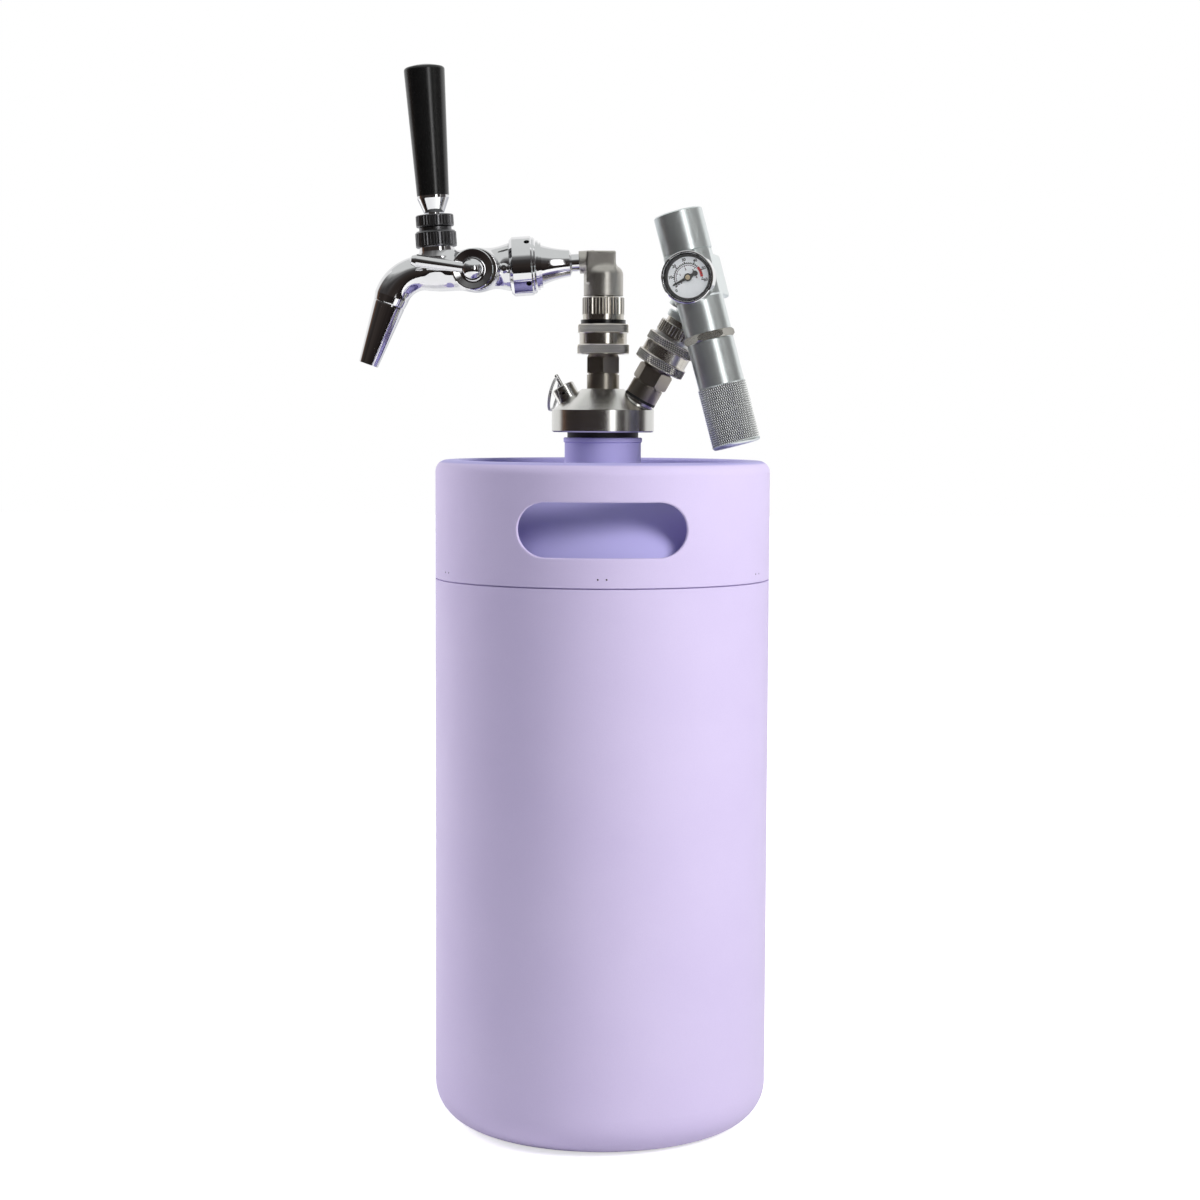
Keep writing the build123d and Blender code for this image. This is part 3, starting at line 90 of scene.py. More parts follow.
# ---------------------------------------------------------------- materials
class Graph:
    """Short calls for building one material's nodes."""

    def __init__(self, name):
        self.mat = bpy.data.materials.new(name)
        self.mat.use_nodes = True
        self.tree = self.mat.node_tree
        self.shader = self.tree.nodes["Principled BSDF"]
        coords = self.tree.nodes.new("ShaderNodeTexCoord")
        self.place = coords.outputs["Object"]

    def node(self, kind, inputs=None, **settings):
        made = self.tree.nodes.new(kind)
        for key, value in settings.items():
            setattr(made, key, value)
        for key, value in (inputs or {}).items():
            self.put(made.inputs[key], value)
        return made

    def put(self, socket, value):
        if isinstance(value, bpy.types.NodeSocket):
            self.tree.links.new(value, socket)
        else:
            socket.default_value = value

    def maths(self, operation, a, b=0.0):
        made = self.node("ShaderNodeMath", operation=operation)
        self.put(made.inputs[0], a)
        self.put(made.inputs[1], b)
        return made.outputs[0]

    def from_axis(self, frame=None):
        """Distance from the Z axis of a frame, in metres."""
        flat = self.stretched((1.0, 1.0, 0.0), frame, True)
        return self.node("ShaderNodeVectorMath", {0: flat}, operation="LENGTH").outputs["Value"]

    def show(self, shader):
        """Put a shader in place of the surface shader."""
        self.tree.links.new(shader.outputs[0], self.tree.nodes["Material Output"].inputs["Surface"])
        return self.mat

    def stretched(self, scale, frame=None, centred=False):
        """Object coordinates, turned into a tilted group's own frame if there is one, then scaled."""
        place = self.place
        if frame is not None:
            back = frame.inverted()
            place = self.node("ShaderNodeMapping", {
                "Vector": place, "Rotation": tuple(back.to_euler("XYZ")),
                "Location": tuple(back.translation) if centred else (0.0, 0.0, 0.0)}).outputs[0]
        return self.node("ShaderNodeMapping", {"Vector": place, "Scale": scale}).outputs[0]

    def noise(self, scale, detail=3.0, roughness=0.5, vector=None):
        made = self.node("ShaderNodeTexNoise", {
            "Vector": vector or self.place, "Scale": scale, "Detail": detail, "Roughness": roughness})
        return made.outputs["Fac"]

    def spread(self, value, low, high, start=0.3, end=0.7):
        made = self.node("ShaderNodeMapRange", {
            "Value": value, "From Min": start, "From Max": end, "To Min": low, "To Max": high})
        return made.outputs[0]

    def mixed(self, fac, a, b):
        made = self.node("ShaderNodeMix", data_type="RGBA")
        self.put(made.inputs["Factor"], fac)
        self.put(made.inputs["A"], a)
        self.put(made.inputs["B"], b)
        return made.outputs["Result"]

    def bump(self, height, depth, strength=1.0, normal=None):
        made = self.node("ShaderNodeBump", {"Height": height, "Distance": depth, "Strength": strength})
        if normal is not None:
            self.put(made.inputs["Normal"], normal)
        return made.outputs["Normal"]

    def set(self, **sockets):
        """Inputs of the surface shader by short names."""
        names = {"color": "Base Color", "metallic": "Metallic", "roughness": "Roughness", "normal": "Normal",
                 "specular": "Specular IOR Level", "ior": "IOR", "transmission": "Transmission Weight"}
        for key, value in sockets.items():
            self.put(self.shader.inputs[names[key]], value)
        return self.mat


def rgb(r, g, b):
    return (r, g, b, 1.0)


def powder_coat():
    """Lilac coat, with painted shade on the neck and behind the carry ring."""
    shade_from, shade_to = 0.338, 0.352         # heights over which the painted shade sets in
    ring_inner, ring_wall = 0.0990, 0.1002        # radii over which it ends
    g = Graph("lilac_coat")
    grain = g.noise(1500.0, 2.0)
    cloud = g.noise(14.0, 3.0)
    color = g.mixed(g.spread(cloud, 0.0, 1.0), rgb(0.610, 0.530, 0.785), rgb(0.640, 0.560, 0.81))
    height = g.node("ShaderNodeSeparateXYZ", {"Vector": g.place}).outputs[2]
    inner = g.maths("MULTIPLY", g.spread(height, 0.0, 1.0, shade_from, shade_to),
                    g.spread(g.from_axis(), 1.0, 0.0, ring_inner, ring_wall))
    # painted shade: a deeper violet on the neck and on the inside of the carry ring, where the ring shades
    # them
    color = g.mixed(inner, color, rgb(0.42, 0.39, 0.72))
    speck = g.mixed(g.spread(grain, 0.0, 0.08), color, rgb(0.40, 0.34, 0.62))
    normal = g.bump(grain, 0.00010, 0.35, g.bump(g.noise(230.0, 2.0), 0.0002, 0.10))
    return g.set(color=speck, roughness=g.spread(grain, 0.46, 0.56), normal=normal, specular=0.42)


def turned_metal(name, dark, light, rough, lines=1400.0, depth=0.000012, smears=0.06, frame=None, body=1.0):
    """Metal with fine turning lines round the Z axis of a frame. body below 1 lets some light scatter."""
    g = Graph(name)
    fine = g.noise(1.0, 4.0, 0.65, g.stretched((6.0, 6.0, lines), frame))
    smear = g.noise(42.0, 4.0, 0.6)
    cover = g.maths("ADD", g.spread(fine, 0.0, 0.6), g.spread(smear, 0.0, 0.4))
    color = g.mixed(cover, rgb(*dark), rgb(*light))
    rough_node = g.maths("ADD", g.spread(fine, rough * 0.85, rough * 1.15), g.spread(smear, 0.0, smears))
    return g.set(color=color, metallic=body, roughness=rough_node, normal=g.bump(fine, depth, 0.6))


def plain_metal(name, dark, light, rough, grain=900.0, depth=0.00001, smears=0.05):
    """Metal with an even grain and faint smears."""
    g = Graph(name)
    fine = g.noise(grain, 3.0, 0.6)
    smear = g.noise(35.0, 4.0, 0.6)
    color = g.mixed(g.spread(smear, 0.0, 1.0), rgb(*dark), rgb(*light))
    rough_node = g.maths("ADD", g.spread(fine, rough * 0.85, rough * 1.15), g.spread(smear, 0.0, smears))
    return g.set(color=color, metallic=1.0, roughness=rough_node, normal=g.bump(fine, depth, 0.5))


def knurled_metal(name, groove_shade, crest, rough, body):
    """Knurling with painted shade: dark in the grooves, bright on the crests, from the mesh's own groove
    depth.
    """
    g = Graph(name)
    groove_shade_mask = g.node("ShaderNodeAttribute", {}, attribute_name="groove_shade").outputs["Fac"]
    fine = g.noise(1500.0)
    # painted shade: the groove vertices take the near-black colour
    color = g.mixed(g.spread(groove_shade_mask, 0.0, 1.0, 0.50, 0.76), rgb(*crest), rgb(*groove_shade))
    return g.set(color=color, metallic=body, roughness=g.spread(fine, rough * 0.85, rough * 1.15))


def black_stuff(name, tone, rough, grain=700.0, depth=0.00003):
    """Rubber, plastic or paint in black, with a fine grain."""
    g = Graph(name)
    fine = g.noise(grain, 3.0)
    worn = tone * 1.6
    color = g.mixed(g.spread(g.noise(60.0), 0.0, 1.0), rgb(tone, tone, tone), rgb(worn, worn, worn))
    return g.set(color=color, roughness=g.spread(fine, rough * 0.9, rough * 1.15),
                 normal=g.bump(fine, depth, 0.3))


def white_stuff():
    """Off-white plastic."""
    g = Graph("white_plastic")
    fine = g.noise(500.0)
    color = g.mixed(g.spread(fine, 0.0, 1.0), rgb(0.84, 0.84, 0.82), rgb(0.88, 0.88, 0.86))
    return g.set(color=color, roughness=g.spread(fine, 0.38, 0.45))


def dial_white():
    """White dial enamel with a black ring at its rim, a painted reflection of the dark room in a polished
    bevel.
    """
    white_r, rim_reflection_r = 0.01205, 0.01215
    g = Graph("dial_white")
    rim_painted_reflection = g.spread(g.from_axis(gauge_place), 0.0, 1.0, white_r, rim_reflection_r)
    fine = g.noise(500.0)
    enamel = g.mixed(g.spread(fine, 0.0, 1.0), rgb(0.90, 0.93, 0.97), rgb(0.93, 0.96, 1.0))
    # painted reflection: black beyond the white enamel's radius
    color = g.mixed(rim_painted_reflection, enamel, rgb(0.008, 0.008, 0.010))
    return g.set(color=color, roughness=g.spread(fine, 0.38, 0.45))


def window_glass():
    """Clear plastic window."""
    g = Graph("clear_window")
    smear = g.noise(60.0, 4.0)
    return g.set(color=rgb(1.0, 1.0, 1.0), roughness=g.spread(smear, 0.0, 0.02), ior=1.45, transmission=1.0)


def print_ink(name, tone):
    """Flat printing ink with slightly uneven cover."""
    g = Graph(name)
    cover = g.noise(3000.0, 2.0)
    color = g.mixed(g.spread(cover, 0.0, 1.0), rgb(*tone), rgb(*[v * 1.25 for v in tone]))
    return g.set(color=color, roughness=g.spread(cover, 0.42, 0.52))


# near-black colour painted into the knurl grooves as shade
GROOVE_PAINTED_SHADE = (0.02, 0.02, 0.02)
LOOKS = {
    "lilac_coat": powder_coat(),
    "vessel_steel": turned_metal("vessel_steel", (0.60, 0.60, 0.60), (0.70, 0.70, 0.70), 0.30),
    "lid_steel": turned_metal("lid_steel", (0.64, 0.635, 0.61), (0.70, 0.695, 0.67), 0.20,
                              2600.0, 0.0000015, 0.03),
    "fitting_steel": plain_metal("fitting_steel", (0.55, 0.52, 0.47), (0.65, 0.62, 0.57), 0.20),
    "cast_steel": plain_metal("cast_steel", (0.44, 0.42, 0.385), (0.60, 0.58, 0.54), 0.30,
                              1100.0, 0.00006, 0.12),
    "post_steel": plain_metal("post_steel", (0.30, 0.27, 0.235), (0.40, 0.37, 0.32), 0.30),
    "tap_chrome": plain_metal("tap_chrome", (0.70, 0.70, 0.71), (0.76, 0.76, 0.77), 0.045,
                              300.0, 0.000002, 0.02),
    "dark_metal": plain_metal("dark_metal", (0.13, 0.13, 0.135), (0.19, 0.19, 0.20), 0.30),
    "turned_aluminium": turned_metal("turned_aluminium", (0.70, 0.745, 0.745), (0.75, 0.80, 0.80), 0.31,
                                     2400.0, 0.0000008, 0.03, reg_place, body=0.88),
    "knurled_aluminium": knurled_metal("knurled_aluminium", GROOVE_PAINTED_SHADE, (0.96, 0.98, 0.98), 0.26, 0.42),
    "nut_steel": plain_metal("nut_steel", (0.36, 0.35, 0.32), (0.44, 0.43, 0.39), 0.22),
    "knurled_steel": knurled_metal("knurled_steel", GROOVE_PAINTED_SHADE, (0.88, 0.85, 0.78), 0.20, 0.70),
    "black_rubber": black_stuff("black_rubber", 0.010, 0.50),
    "black_plastic": black_stuff("black_plastic", 0.0045, 0.24, 900.0, 0.000004),
    "white_plastic": white_stuff(),
    "ball_steel": plain_metal("ball_steel", (0.72, 0.72, 0.72), (0.78, 0.78, 0.78), 0.10),
    "dial_face": dial_white(),
    "dial_plum": print_ink("dial_plum", (0.055, 0.012, 0.030)),
    "dial_red": print_ink("dial_red", (0.52, 0.012, 0.014)),
    "needle_black": black_stuff("needle_black", 0.01, 0.40),
    # near-black look for the cups of painted shade inside holes and dimples
    "hole_painted_shade": black_stuff("hole_painted_shade", 0.006, 0.70),
    "needle_brass": plain_metal("needle_brass", (0.42, 0.34, 0.22), (0.50, 0.42, 0.29), 0.35),
    "clear_window": window_glass(),
}
OWN_LOOKS = {"liquid_post": "post_steel", "gas_post": "post_steel", "lock_nut": "nut_steel"}
slot_of = {row["node"]: row["material_slot"] for row in frame["record"]["subparts"]}
for name, obj in nodes.items():
    obj.data.materials.clear()
    obj.data.materials.append(LOOKS[OWN_LOOKS.get(name, slot_of[name])])


# ---------------------------------------------------------------- mesh helpers
def linked(name, data):
    """New object in the scene."""
    obj = bpy.data.objects.new(name, data)
    bpy.context.scene.collection.objects.link(obj)
    return obj


def facing_out(mesh):
    """Turn all faces of a mesh outwards."""
    shell = bmesh.new()
    shell.from_mesh(mesh)
    bmesh.ops.recalc_face_normals(shell, faces=shell.faces)
    shell.to_mesh(mesh)
    shell.free()


def to_object(name, mesh, body, slot, replaced=None, sharp=32.0, look=None, grip=None):
    """Piece of the visual model on a body. sharp is the angle from which edges stay hard, look stands in
    for the slot's own look, and grip is the look of knurled faces."""
    mesh.materials.append(look or LOOKS[slot])
    if grip:
        mesh.materials.append(LOOKS[grip])
    if sharp is not None:
        mesh.shade_smooth()
        mesh.set_sharp_from_angle(angle=math.radians(sharp))
    obj = linked(name, mesh)
    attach(obj, body)
    if replaced:
        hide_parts(*replaced)


def turned_mesh(name, outline, place, count):
    """Lathe mesh from a closed (radius, height) outline in mm. An entry of five numbers,
    (radius, low, high, rows, depth), is a diamond-knurled band: grooves run both ways round it and leave
    one pyramid between each four crossings."""
    rows = []
    for entry in outline:
        if len(entry) == 2:
            rows.append((entry[0], entry[1], 0.0, 0, False))
        else:
            radius, low, high, steps, depth = entry
            for i in range(steps + 1):
                rows.append((radius, low + (high - low) * i / steps, depth, i, i < steps))
    verts, starts, grooves = [], [], []
    for radius, height, depth, phase, _ in rows:
        starts.append(len(verts))
        if radius < 1e-6:
            verts.append(place @ Vector((0, 0, height * MM)))
            grooves.append(0.0)
            continue
        for k in range(count):
            angle = math.tau * k / count
            low = depth > 0.0 and (k + phase) % 2 == 1
            r = radius - (depth if low else 0.0)
            grooves.append(1.0 if low else 0.0)
            verts.append(place @ Vector((r * math.cos(angle) * MM, r * math.sin(angle) * MM, height * MM)))
    faces, knurled = [], []
    total = len(rows)
    for i, row in enumerate(rows):
        a, b = starts[i], starts[(i + 1) % total]
        pole_a, pole_b = row[0] < 1e-6, rows[(i + 1) % total][0] < 1e-6
        if pole_a and pole_b:
            continue
        for k in range(count):
            n = (k + 1) % count
            if pole_a:
                faces.append((a, b + n, b + k))
            elif pole_b:
                faces.append((a + k, a + n, b))
            elif row[4]:
                if (k + row[3]) % 2:
                    faces += [(a + k, a + n, b + n), (a + k, b + n, b + k)]
                else:
                    faces += [(a + k, a + n, b + k), (a + n, b + n, b + k)]
                knurled += [len(faces) - 2, len(faces) - 1]
            else:
                faces.append((a + k, a + n, b + n, b + k))
    mesh = bpy.data.meshes.new(name)
    mesh.from_pydata(verts, [], faces)
    if knurled:
        # marks the groove vertices, where the knurled looks paint shade
        mesh.attributes.new("groove_shade", "FLOAT", "POINT").data.foreach_set("value", grooves)
    for index in knurled:
        mesh.polygons[index].material_index = 1
    facing_out(mesh)
    mesh.update()
    return mesh


def arc_points(centre, radius, start, end, steps=6):
    """Outline points on an arc; angles in degrees from the radius axis towards +height."""
    points = []
    for i in range(steps + 1):
        a = math.radians(start + (end - start) * i / steps)
        points.append((centre[0] + radius * math.cos(a), centre[1] + radius * math.sin(a)))
    return points


# ---------------------------------------------------------------- knurled knob and lock collars
def knob():
    """Adjusting knob: knurled grip under a plain sleeve."""
    low, seam, top, floor = -92.0, -55.2, -27.7, -54.0
    grip, sleeve, bore, round_edge = 14.65, 14.0, 11.45, 2.0
    knurl_rows, knurl_depth, columns = 26, 0.60, 136
    rim = [(0, low), (2.0, low)] + arc_points((grip - round_edge, low + round_edge), round_edge, -90, -8, 7)
    outline = rim + [(grip, low + 2.2, seam - 0.35, knurl_rows, knurl_depth), (grip - 0.35, seam),
                     (sleeve, seam + 0.3), (sleeve, top - 0.5), (sleeve - 0.5, top), (bore, top),
                     (bore, floor), (0, floor)]
    mesh = turned_mesh("knob_grip", outline, reg_place, columns)
    to_object("knob_grip", mesh, "knob", "turned_aluminium", ["adjusting_knob"], 22.0,
              grip="knurled_aluminium")


def flange(radius, low, high):
    """Outline of a knurled flange with broken edges."""
    knurl_rows, knurl_depth = 5, 0.42
    return [(radius - 0.5, low), (radius - 0.12, low + 0.38),
            (radius, low + 0.6, high - 0.6, knurl_rows, knurl_depth),
            (radius - 0.12, high - 0.38), (radius - 0.5, high)]


def collar(name, body, node, place):
    """Sliding sleeve of a quick disconnect: two knurled flanges, a waist, and a cam inside."""
    low, top, first, second = 21.3, 39.4, 27.1, 34.0
    r0, r1, waist, bore = 15.95, 15.55, 14.55, 12.95
    cam_r, cam_low, cam_high = 11.4, 26.7, 31.8
    waist_line = [(waist + 0.3, first), (waist, first + 0.3), (waist, second - 0.3), (waist + 0.3, second)]
    inside = [(bore, top), (bore, cam_high), (cam_r, cam_high), (cam_r, cam_low), (bore, cam_low)]
    outline = [(bore, low)] + flange(r0, low, first) + waist_line + flange(r1, second, top) + inside
    mesh = turned_mesh(name, outline, place, 140)
    to_object(name, mesh, body, "fitting_steel", [node], 20.0, grip="knurled_steel")


# ---------------------------------------------------------------- smooth castings from distance fields
def sd_outline(points, r, z):
    """Signed distance from (r, z) to a closed outline, negative inside."""
    best = np.full(r.shape, 1e9)
    inside = np.zeros(r.shape, bool)
    for (x0, y0), (x1, y1) in zip(points, points[1:] + points[:1]):
        ex, ey = x1 - x0, y1 - y0
        t = np.clip(((r - x0) * ex + (z - y0) * ey) / max(ex * ex + ey * ey, 1e-12), 0, 1)
        best = np.minimum(best, np.hypot(r - x0 - t * ex, z - y0 - t * ey))
        if y0 != y1:
            cross = (y0 > z) != (y1 > z)
            inside ^= cross & (r < (x1 - x0) * (z - y0) / (y1 - y0) + x0)
    return np.where(inside, -best, best)


def sd_rod(r, z, radius, low, high, rounding=0.0):
    """Signed distance to a rod along z; r is the distance from its axis."""
    dr = r - radius + rounding
    dz = np.maximum(low + rounding - z, z - high + rounding)
    return np.minimum(np.maximum(dr, dz), 0) + np.hypot(np.maximum(dr, 0), np.maximum(dz, 0)) - rounding


def sd_box(x, y, z, low, high, rounding):
    """Signed distance to a box with rounded edges."""
    mid = [(a + b) / 2 for a, b in zip(low, high)]
    half = [(b - a) / 2 - rounding for a, b in zip(low, high)]
    q = [np.abs(p - m) - h for p, m, h in zip((x, y, z), mid, half)]
    outside = np.sqrt(sum(np.maximum(v, 0) ** 2 for v in q))
    return outside + np.minimum(np.maximum(np.maximum(q[0], q[1]), q[2]), 0) - rounding


def melt(a, b, k):
    """Union with a fillet of about k."""
    h = np.maximum(k - np.abs(a - b), 0) / k
    return np.minimum(a, b) - h * h * h * k / 6


def slope(field, p):
    """Unit normals of a field at an array of points."""
    reach = 0.02
    rises = []
    for axis in range(3):
        d = np.zeros(3)
        d[axis] = reach
        rises.append(field(*(p + d).T) - field(*(p - d).T))
    rises = np.stack(rises, axis=1)
    return rises / np.maximum(np.linalg.norm(rises, axis=1), 1e-9)[:, None]


def field_mesh(name, field, low, high, step, place):
    """Surface of field = 0 by dual contouring: one point in each crossed cell, on the sharp edge if any."""
    margin = 0.02         # share of an edge that each cut of the root search keeps off its ends
    hold = 0.06           # weight that keeps a cell's point near the mean of its crossings
    reach = 0.7           # how far it may move from there, in cells
    inset = 0.3           # share of the way to the face's centre at which a corner's normal is taken
    axes = [np.arange(a, b + step, step) for a, b in zip(low, high)]
    grid = np.stack(np.meshgrid(*axes, indexing="ij"), axis=-1)
    f = field(grid[..., 0], grid[..., 1], grid[..., 2])
    shape = np.array(f.shape)
    faces, points, normals, owners = [], [], [], []
    for axis in range(3):
        others = [i for i in range(3) if i != axis]
        lower = tuple(slice(0, -1) if i == axis else slice(None) for i in range(3))
        upper = tuple(slice(1, None) if i == axis else slice(None) for i in range(3))
        where = np.argwhere((f[lower] < 0) != (f[upper] < 0))
        u, v = others
        within = [(where[:, i] > 0) & (where[:, i] < shape[i] - 1) for i in (u, v)]
        where = where[within[0] & within[1]]
        ends = where.copy()
        ends[:, axis] += 1
        a, b = grid[tuple(where.T)], grid[tuple(ends.T)]
        fa, fb = f[tuple(where.T)], f[tuple(ends.T)]
        t0, t1 = np.zeros(len(a)), np.ones(len(a))
        for _ in range(3):
            gap = margin * (t1 - t0)
            t = np.clip(t0 + (t1 - t0) * fa / (fa - fb), t0 + gap, t1 - gap)
            ft = field(*(a + t[:, None] * (b - a)).T)
            same = (ft < 0) == (fa < 0)
            t0, fa = np.where(same, t, t0), np.where(same, ft, fa)
            t1, fb = np.where(same, t1, t), np.where(same, fb, ft)
        cross = a + (t0 + (t1 - t0) * fa / (fa - fb))[:, None] * (b - a)
        normal = slope(field, cross)
        quad = []
        for du, dv in ((-1, -1), (0, -1), (0, 0), (-1, 0)):
            cell = where.copy()
            cell[:, u] += du
            cell[:, v] += dv
            code = np.ravel_multi_index(tuple(cell.T), tuple(shape))
            quad.append(code)
            owners.append(code)
            points.append(cross)
            normals.append(normal)
        faces.append(np.stack(quad, axis=1))
    owners, points, normals = np.concatenate(owners), np.concatenate(points), np.concatenate(normals)
    used, index = np.unique(owners, return_inverse=True)
    count = np.bincount(index).astype(float)
    mean = np.stack([np.bincount(index, points[:, i]) for i in range(3)], axis=1) / count[:, None]
    away = ((points - mean[index]) * normals).sum(axis=1)
    pairs = [normals[:, i] * normals[:, j] for i in range(3) for j in range(3)]
    left_side = np.stack([np.bincount(index, pair) for pair in pairs], axis=1)
    right_side = np.stack([np.bincount(index, normals[:, i] * away) for i in range(3)], axis=1)
    left_side = left_side.reshape(-1, 3, 3) + hold * np.eye(3)
    shifted = np.linalg.solve(left_side, right_side[..., None])[..., 0]
    verts = mean + np.clip(shifted, -step * reach, step * reach)
    faces = np.searchsorted(used, np.concatenate(faces))
    mesh = bpy.data.meshes.new(name)
    mesh.from_pydata([place @ Vector(tuple(p * MM)) for p in verts], [], faces.tolist())
    facing_out(mesh)
    mesh.shade_smooth()
    corner = np.zeros(len(mesh.loops), dtype=int)
    mesh.loops.foreach_get("vertex_index", corner)
    centre = verts[corner].reshape(-1, 4, 3).mean(axis=1).repeat(4, axis=0)
    spin = np.array(place.to_3x3())
    split = slope(field, verts[corner] + inset * (centre - verts[corner])) @ spin.T
    mesh.normals_split_custom_set(split.tolist())
    mesh.update()
    return mesh


def faucet_field(x, y, z):
    """Tap body in its own frame: z runs along the tap, x points up, the camera is at -y."""
    body_r, way_r, far_in = 10.6, 4.75, -20
    bend_r, bend_z, bend_turn = 22.0, 110.4, math.radians(66.8)
    tip_x, tip_z, tip_run = -17.745, 132.512, 4.8
    neck_x, neck_z = 15.4, 101.1
    boss_x, boss_z = -1.0, 77.1
    mouth_z, spindle_z, screw_x, screw_z = 47.1, 79.1, -1.4, 60.5

    r = np.hypot(x, y)
    dx, dz = x + bend_r, z - bend_z
    sx, sz = x - tip_x, z - tip_z
    along = -sx * math.sin(bend_turn) + sz * math.cos(bend_turn)
    spout_r = np.hypot(sx * math.cos(bend_turn) + sz * math.sin(bend_turn), y)
    bend = np.hypot(np.hypot(dx, dz) - bend_r, y)

    def run(straight, arc, end):
        """Pick by place along the tap: straight body, bend or spout end."""
        return np.where(dz < 0, straight, np.where(along < -tip_run, arc, end))

    flare = [(14.35, 57.1), (14.6, 57.35), (14.1, 59.2), (13.42, 61.6), (12.9, 63.9), (12.5, 66.3),
             (12.22, 69.0), (12.1, 71.5)]
    taper = [(12.1, 96.0), (11.9, 101.0), (11.35, 105.5), (10.72, 109.5), (body_r, 113.0), (body_r, 150)]
    outline = [(far_in, mouth_z), (14.1, mouth_z), (14.1, 57.1)] + flare + taper + [(far_in, 150)]
    straight = sd_outline(outline, r, z)
    tip = [(far_in, -60), (body_r, -60), (body_r, -tip_run), (9.85, -0.6), (9.6, -0.1), (far_in, -0.1)]
    body = run(straight, bend - body_r, sd_outline(tip, spout_r, along))
    up, neck_r = x - neck_x, np.hypot(y, z - neck_z)
    seat = [(far_in, -15.4), (11.4, -15.4), (11.4, -6.5), (10.6, -3.0), (10.6, 4.0), (far_in, 4.0)]
    body = melt(body, sd_outline(seat, neck_r, up), 5.0)
    body = melt(body, sd_rod(np.hypot(x - boss_x, z - boss_z), -y, 13.0, 0, 16.5, 1.0), 6.0)
    body = np.minimum(body, sd_rod(spout_r, along, 7.2, -2, 5.0))
    chamber = [(far_in, 40), (5.5, 40), (5.5, 50.1), (7.5, 60.1), (7.5, 108.1), (far_in, 108.1)]
    cuts = (sd_outline(chamber, r, z),
            np.maximum(run(r, bend, spout_r) - way_r, 100.0 - z),
            sd_rod(neck_r, up, 8.5, -6.0, 12.0),
            sd_rod(neck_r, up, 5.3, -15.4, 0.0),
            sd_rod(np.hypot(x - boss_x, z - spindle_z), -y, 4.05, 0, 20.0),
            sd_rod(np.hypot(x - screw_x, z - screw_z), -y, 3.1, 9.1, 30.0))
    for cut in cuts:
        body = np.maximum(body, -cut)
    return body


def elbow_field(x, y, z):
    """Swivel elbow over the liquid post: round head, cube and side port, cast in one."""
    low, far_in, head_r = 508.6, -20, 12.05
    port_tilt = math.radians(4.0)
    r = np.hypot(x, y)
    dome = arc_points((6.2, low + 12.6), 5.85, 0, 62, 8)
    outline = [(far_in, low), (head_r, low), (head_r, low + 12.6)] + dome + [
        (6.6, low + 19.8), (far_in, low + 19.8)]
    cube = sd_box(x, y, z, (-10.4, -8.7, low + 7.4), (7.4, 8.7, low + 27.0), 0.9)
    body = melt(sd_outline(outline, r, z), cube, 2.6)
    along = -x * math.cos(port_tilt) - (z - PORT_Z) * math.sin(port_tilt)
    port_r = np.hypot((z - PORT_Z) * math.cos(port_tilt) - x * math.sin(port_tilt), y)
    body = melt(body, sd_rod(port_r, along, 6.9, 5.2, 14.9, 0.5), 0.8)
    body = np.maximum(body, -sd_rod(r, z, 7.05, low - 4, low + 10.6))
    body = np.maximum(body, -sd_rod(r, z, 4.0, low + 9.0, PORT_Z))
    return np.maximum(body, -sd_rod(port_r, along, 4.65, -2.0, 20.0))


# ---------------------------------------------------------------- gauge
DIAL_Z = 21.9                     # face of the dial in the gauge's frame
PRINT_THICK = 0.02
FIRST, SWEEP, TOP_VALUE = 202.6, 225.1, 60
RED_FROM, RED_TO = 31.0, -12.0
SCALE_R, INNER_R = 8.1, 7.2


def strip(points, width):
    """Flat strip along a line of (x, y) points, as (verts, faces)."""
    verts, faces = [], []
    for i, (x, y) in enumerate(points):
        x0, y0 = points[max(i - 1, 0)]
        x1, y1 = points[min(i + 1, len(points) - 1)]
        size = math.hypot(x1 - x0, y1 - y0)
        nx, ny = -(y1 - y0) / size * width / 2, (x1 - x0) / size * width / 2
        verts += [(x + nx, y + ny), (x - nx, y - ny)]
        if i:
            faces.append((2 * i - 2, 2 * i - 1, 2 * i + 1, 2 * i))
    return verts, faces


def round_line(radius, start, end, step=2.0):
    """Points on an arc of the dial, angles in degrees."""
    count = max(2, int(abs(end - start) / step) + 1)
    angles = [math.radians(start + (end - start) * i / (count - 1)) for i in range(count)]
    return [(radius * math.cos(a), radius * math.sin(a)) for a in angles]


def tick(angle, r0, r1):
    """Ends of a tick of the scale."""
    c, s = math.cos(math.radians(angle)), math.sin(math.radians(angle))
    return [(c * r0, s * r0), (c * r1, s * r1)]


def flat_print(name, strips, look):
    """Printed marks: thin strips in one mesh, from a hair under the dial's face to a hair above it."""
    low, high = (DIAL_Z - PRINT_THICK) * MM, (DIAL_Z + PRINT_THICK) * MM
    verts, faces = [], []
    for points, width in strips:
        flat, quads = strip(points, width)
        base = len(verts)
        verts += [gauge_place @ Vector((x * MM, y * MM, high)) for x, y in flat]
        verts += [gauge_place @ Vector((x * MM, y * MM, low)) for x, y in flat]
        half = len(flat)
        for a, b, c, d in quads:
            faces.append((base + a, base + b, base + c, base + d))
            faces.append((base + b, base + a, base + half + a, base + half + b))
        for i in range(0, half - 2, 2):
            faces.append((base + i, base + i + 2, base + half + i + 2, base + half + i))
            faces.append((base + i + 3, base + i + 1, base + half + i + 1, base + half + i + 3))
    mesh = bpy.data.meshes.new(name)
    mesh.from_pydata(verts, [], faces)
    to_object(name, mesh, "regulator", "needle_black", sharp=None, look=look)


def dial_angle(value):
    """Direction of a value of the outer scale, in degrees."""
    return FIRST - SWEEP * value / TOP_VALUE


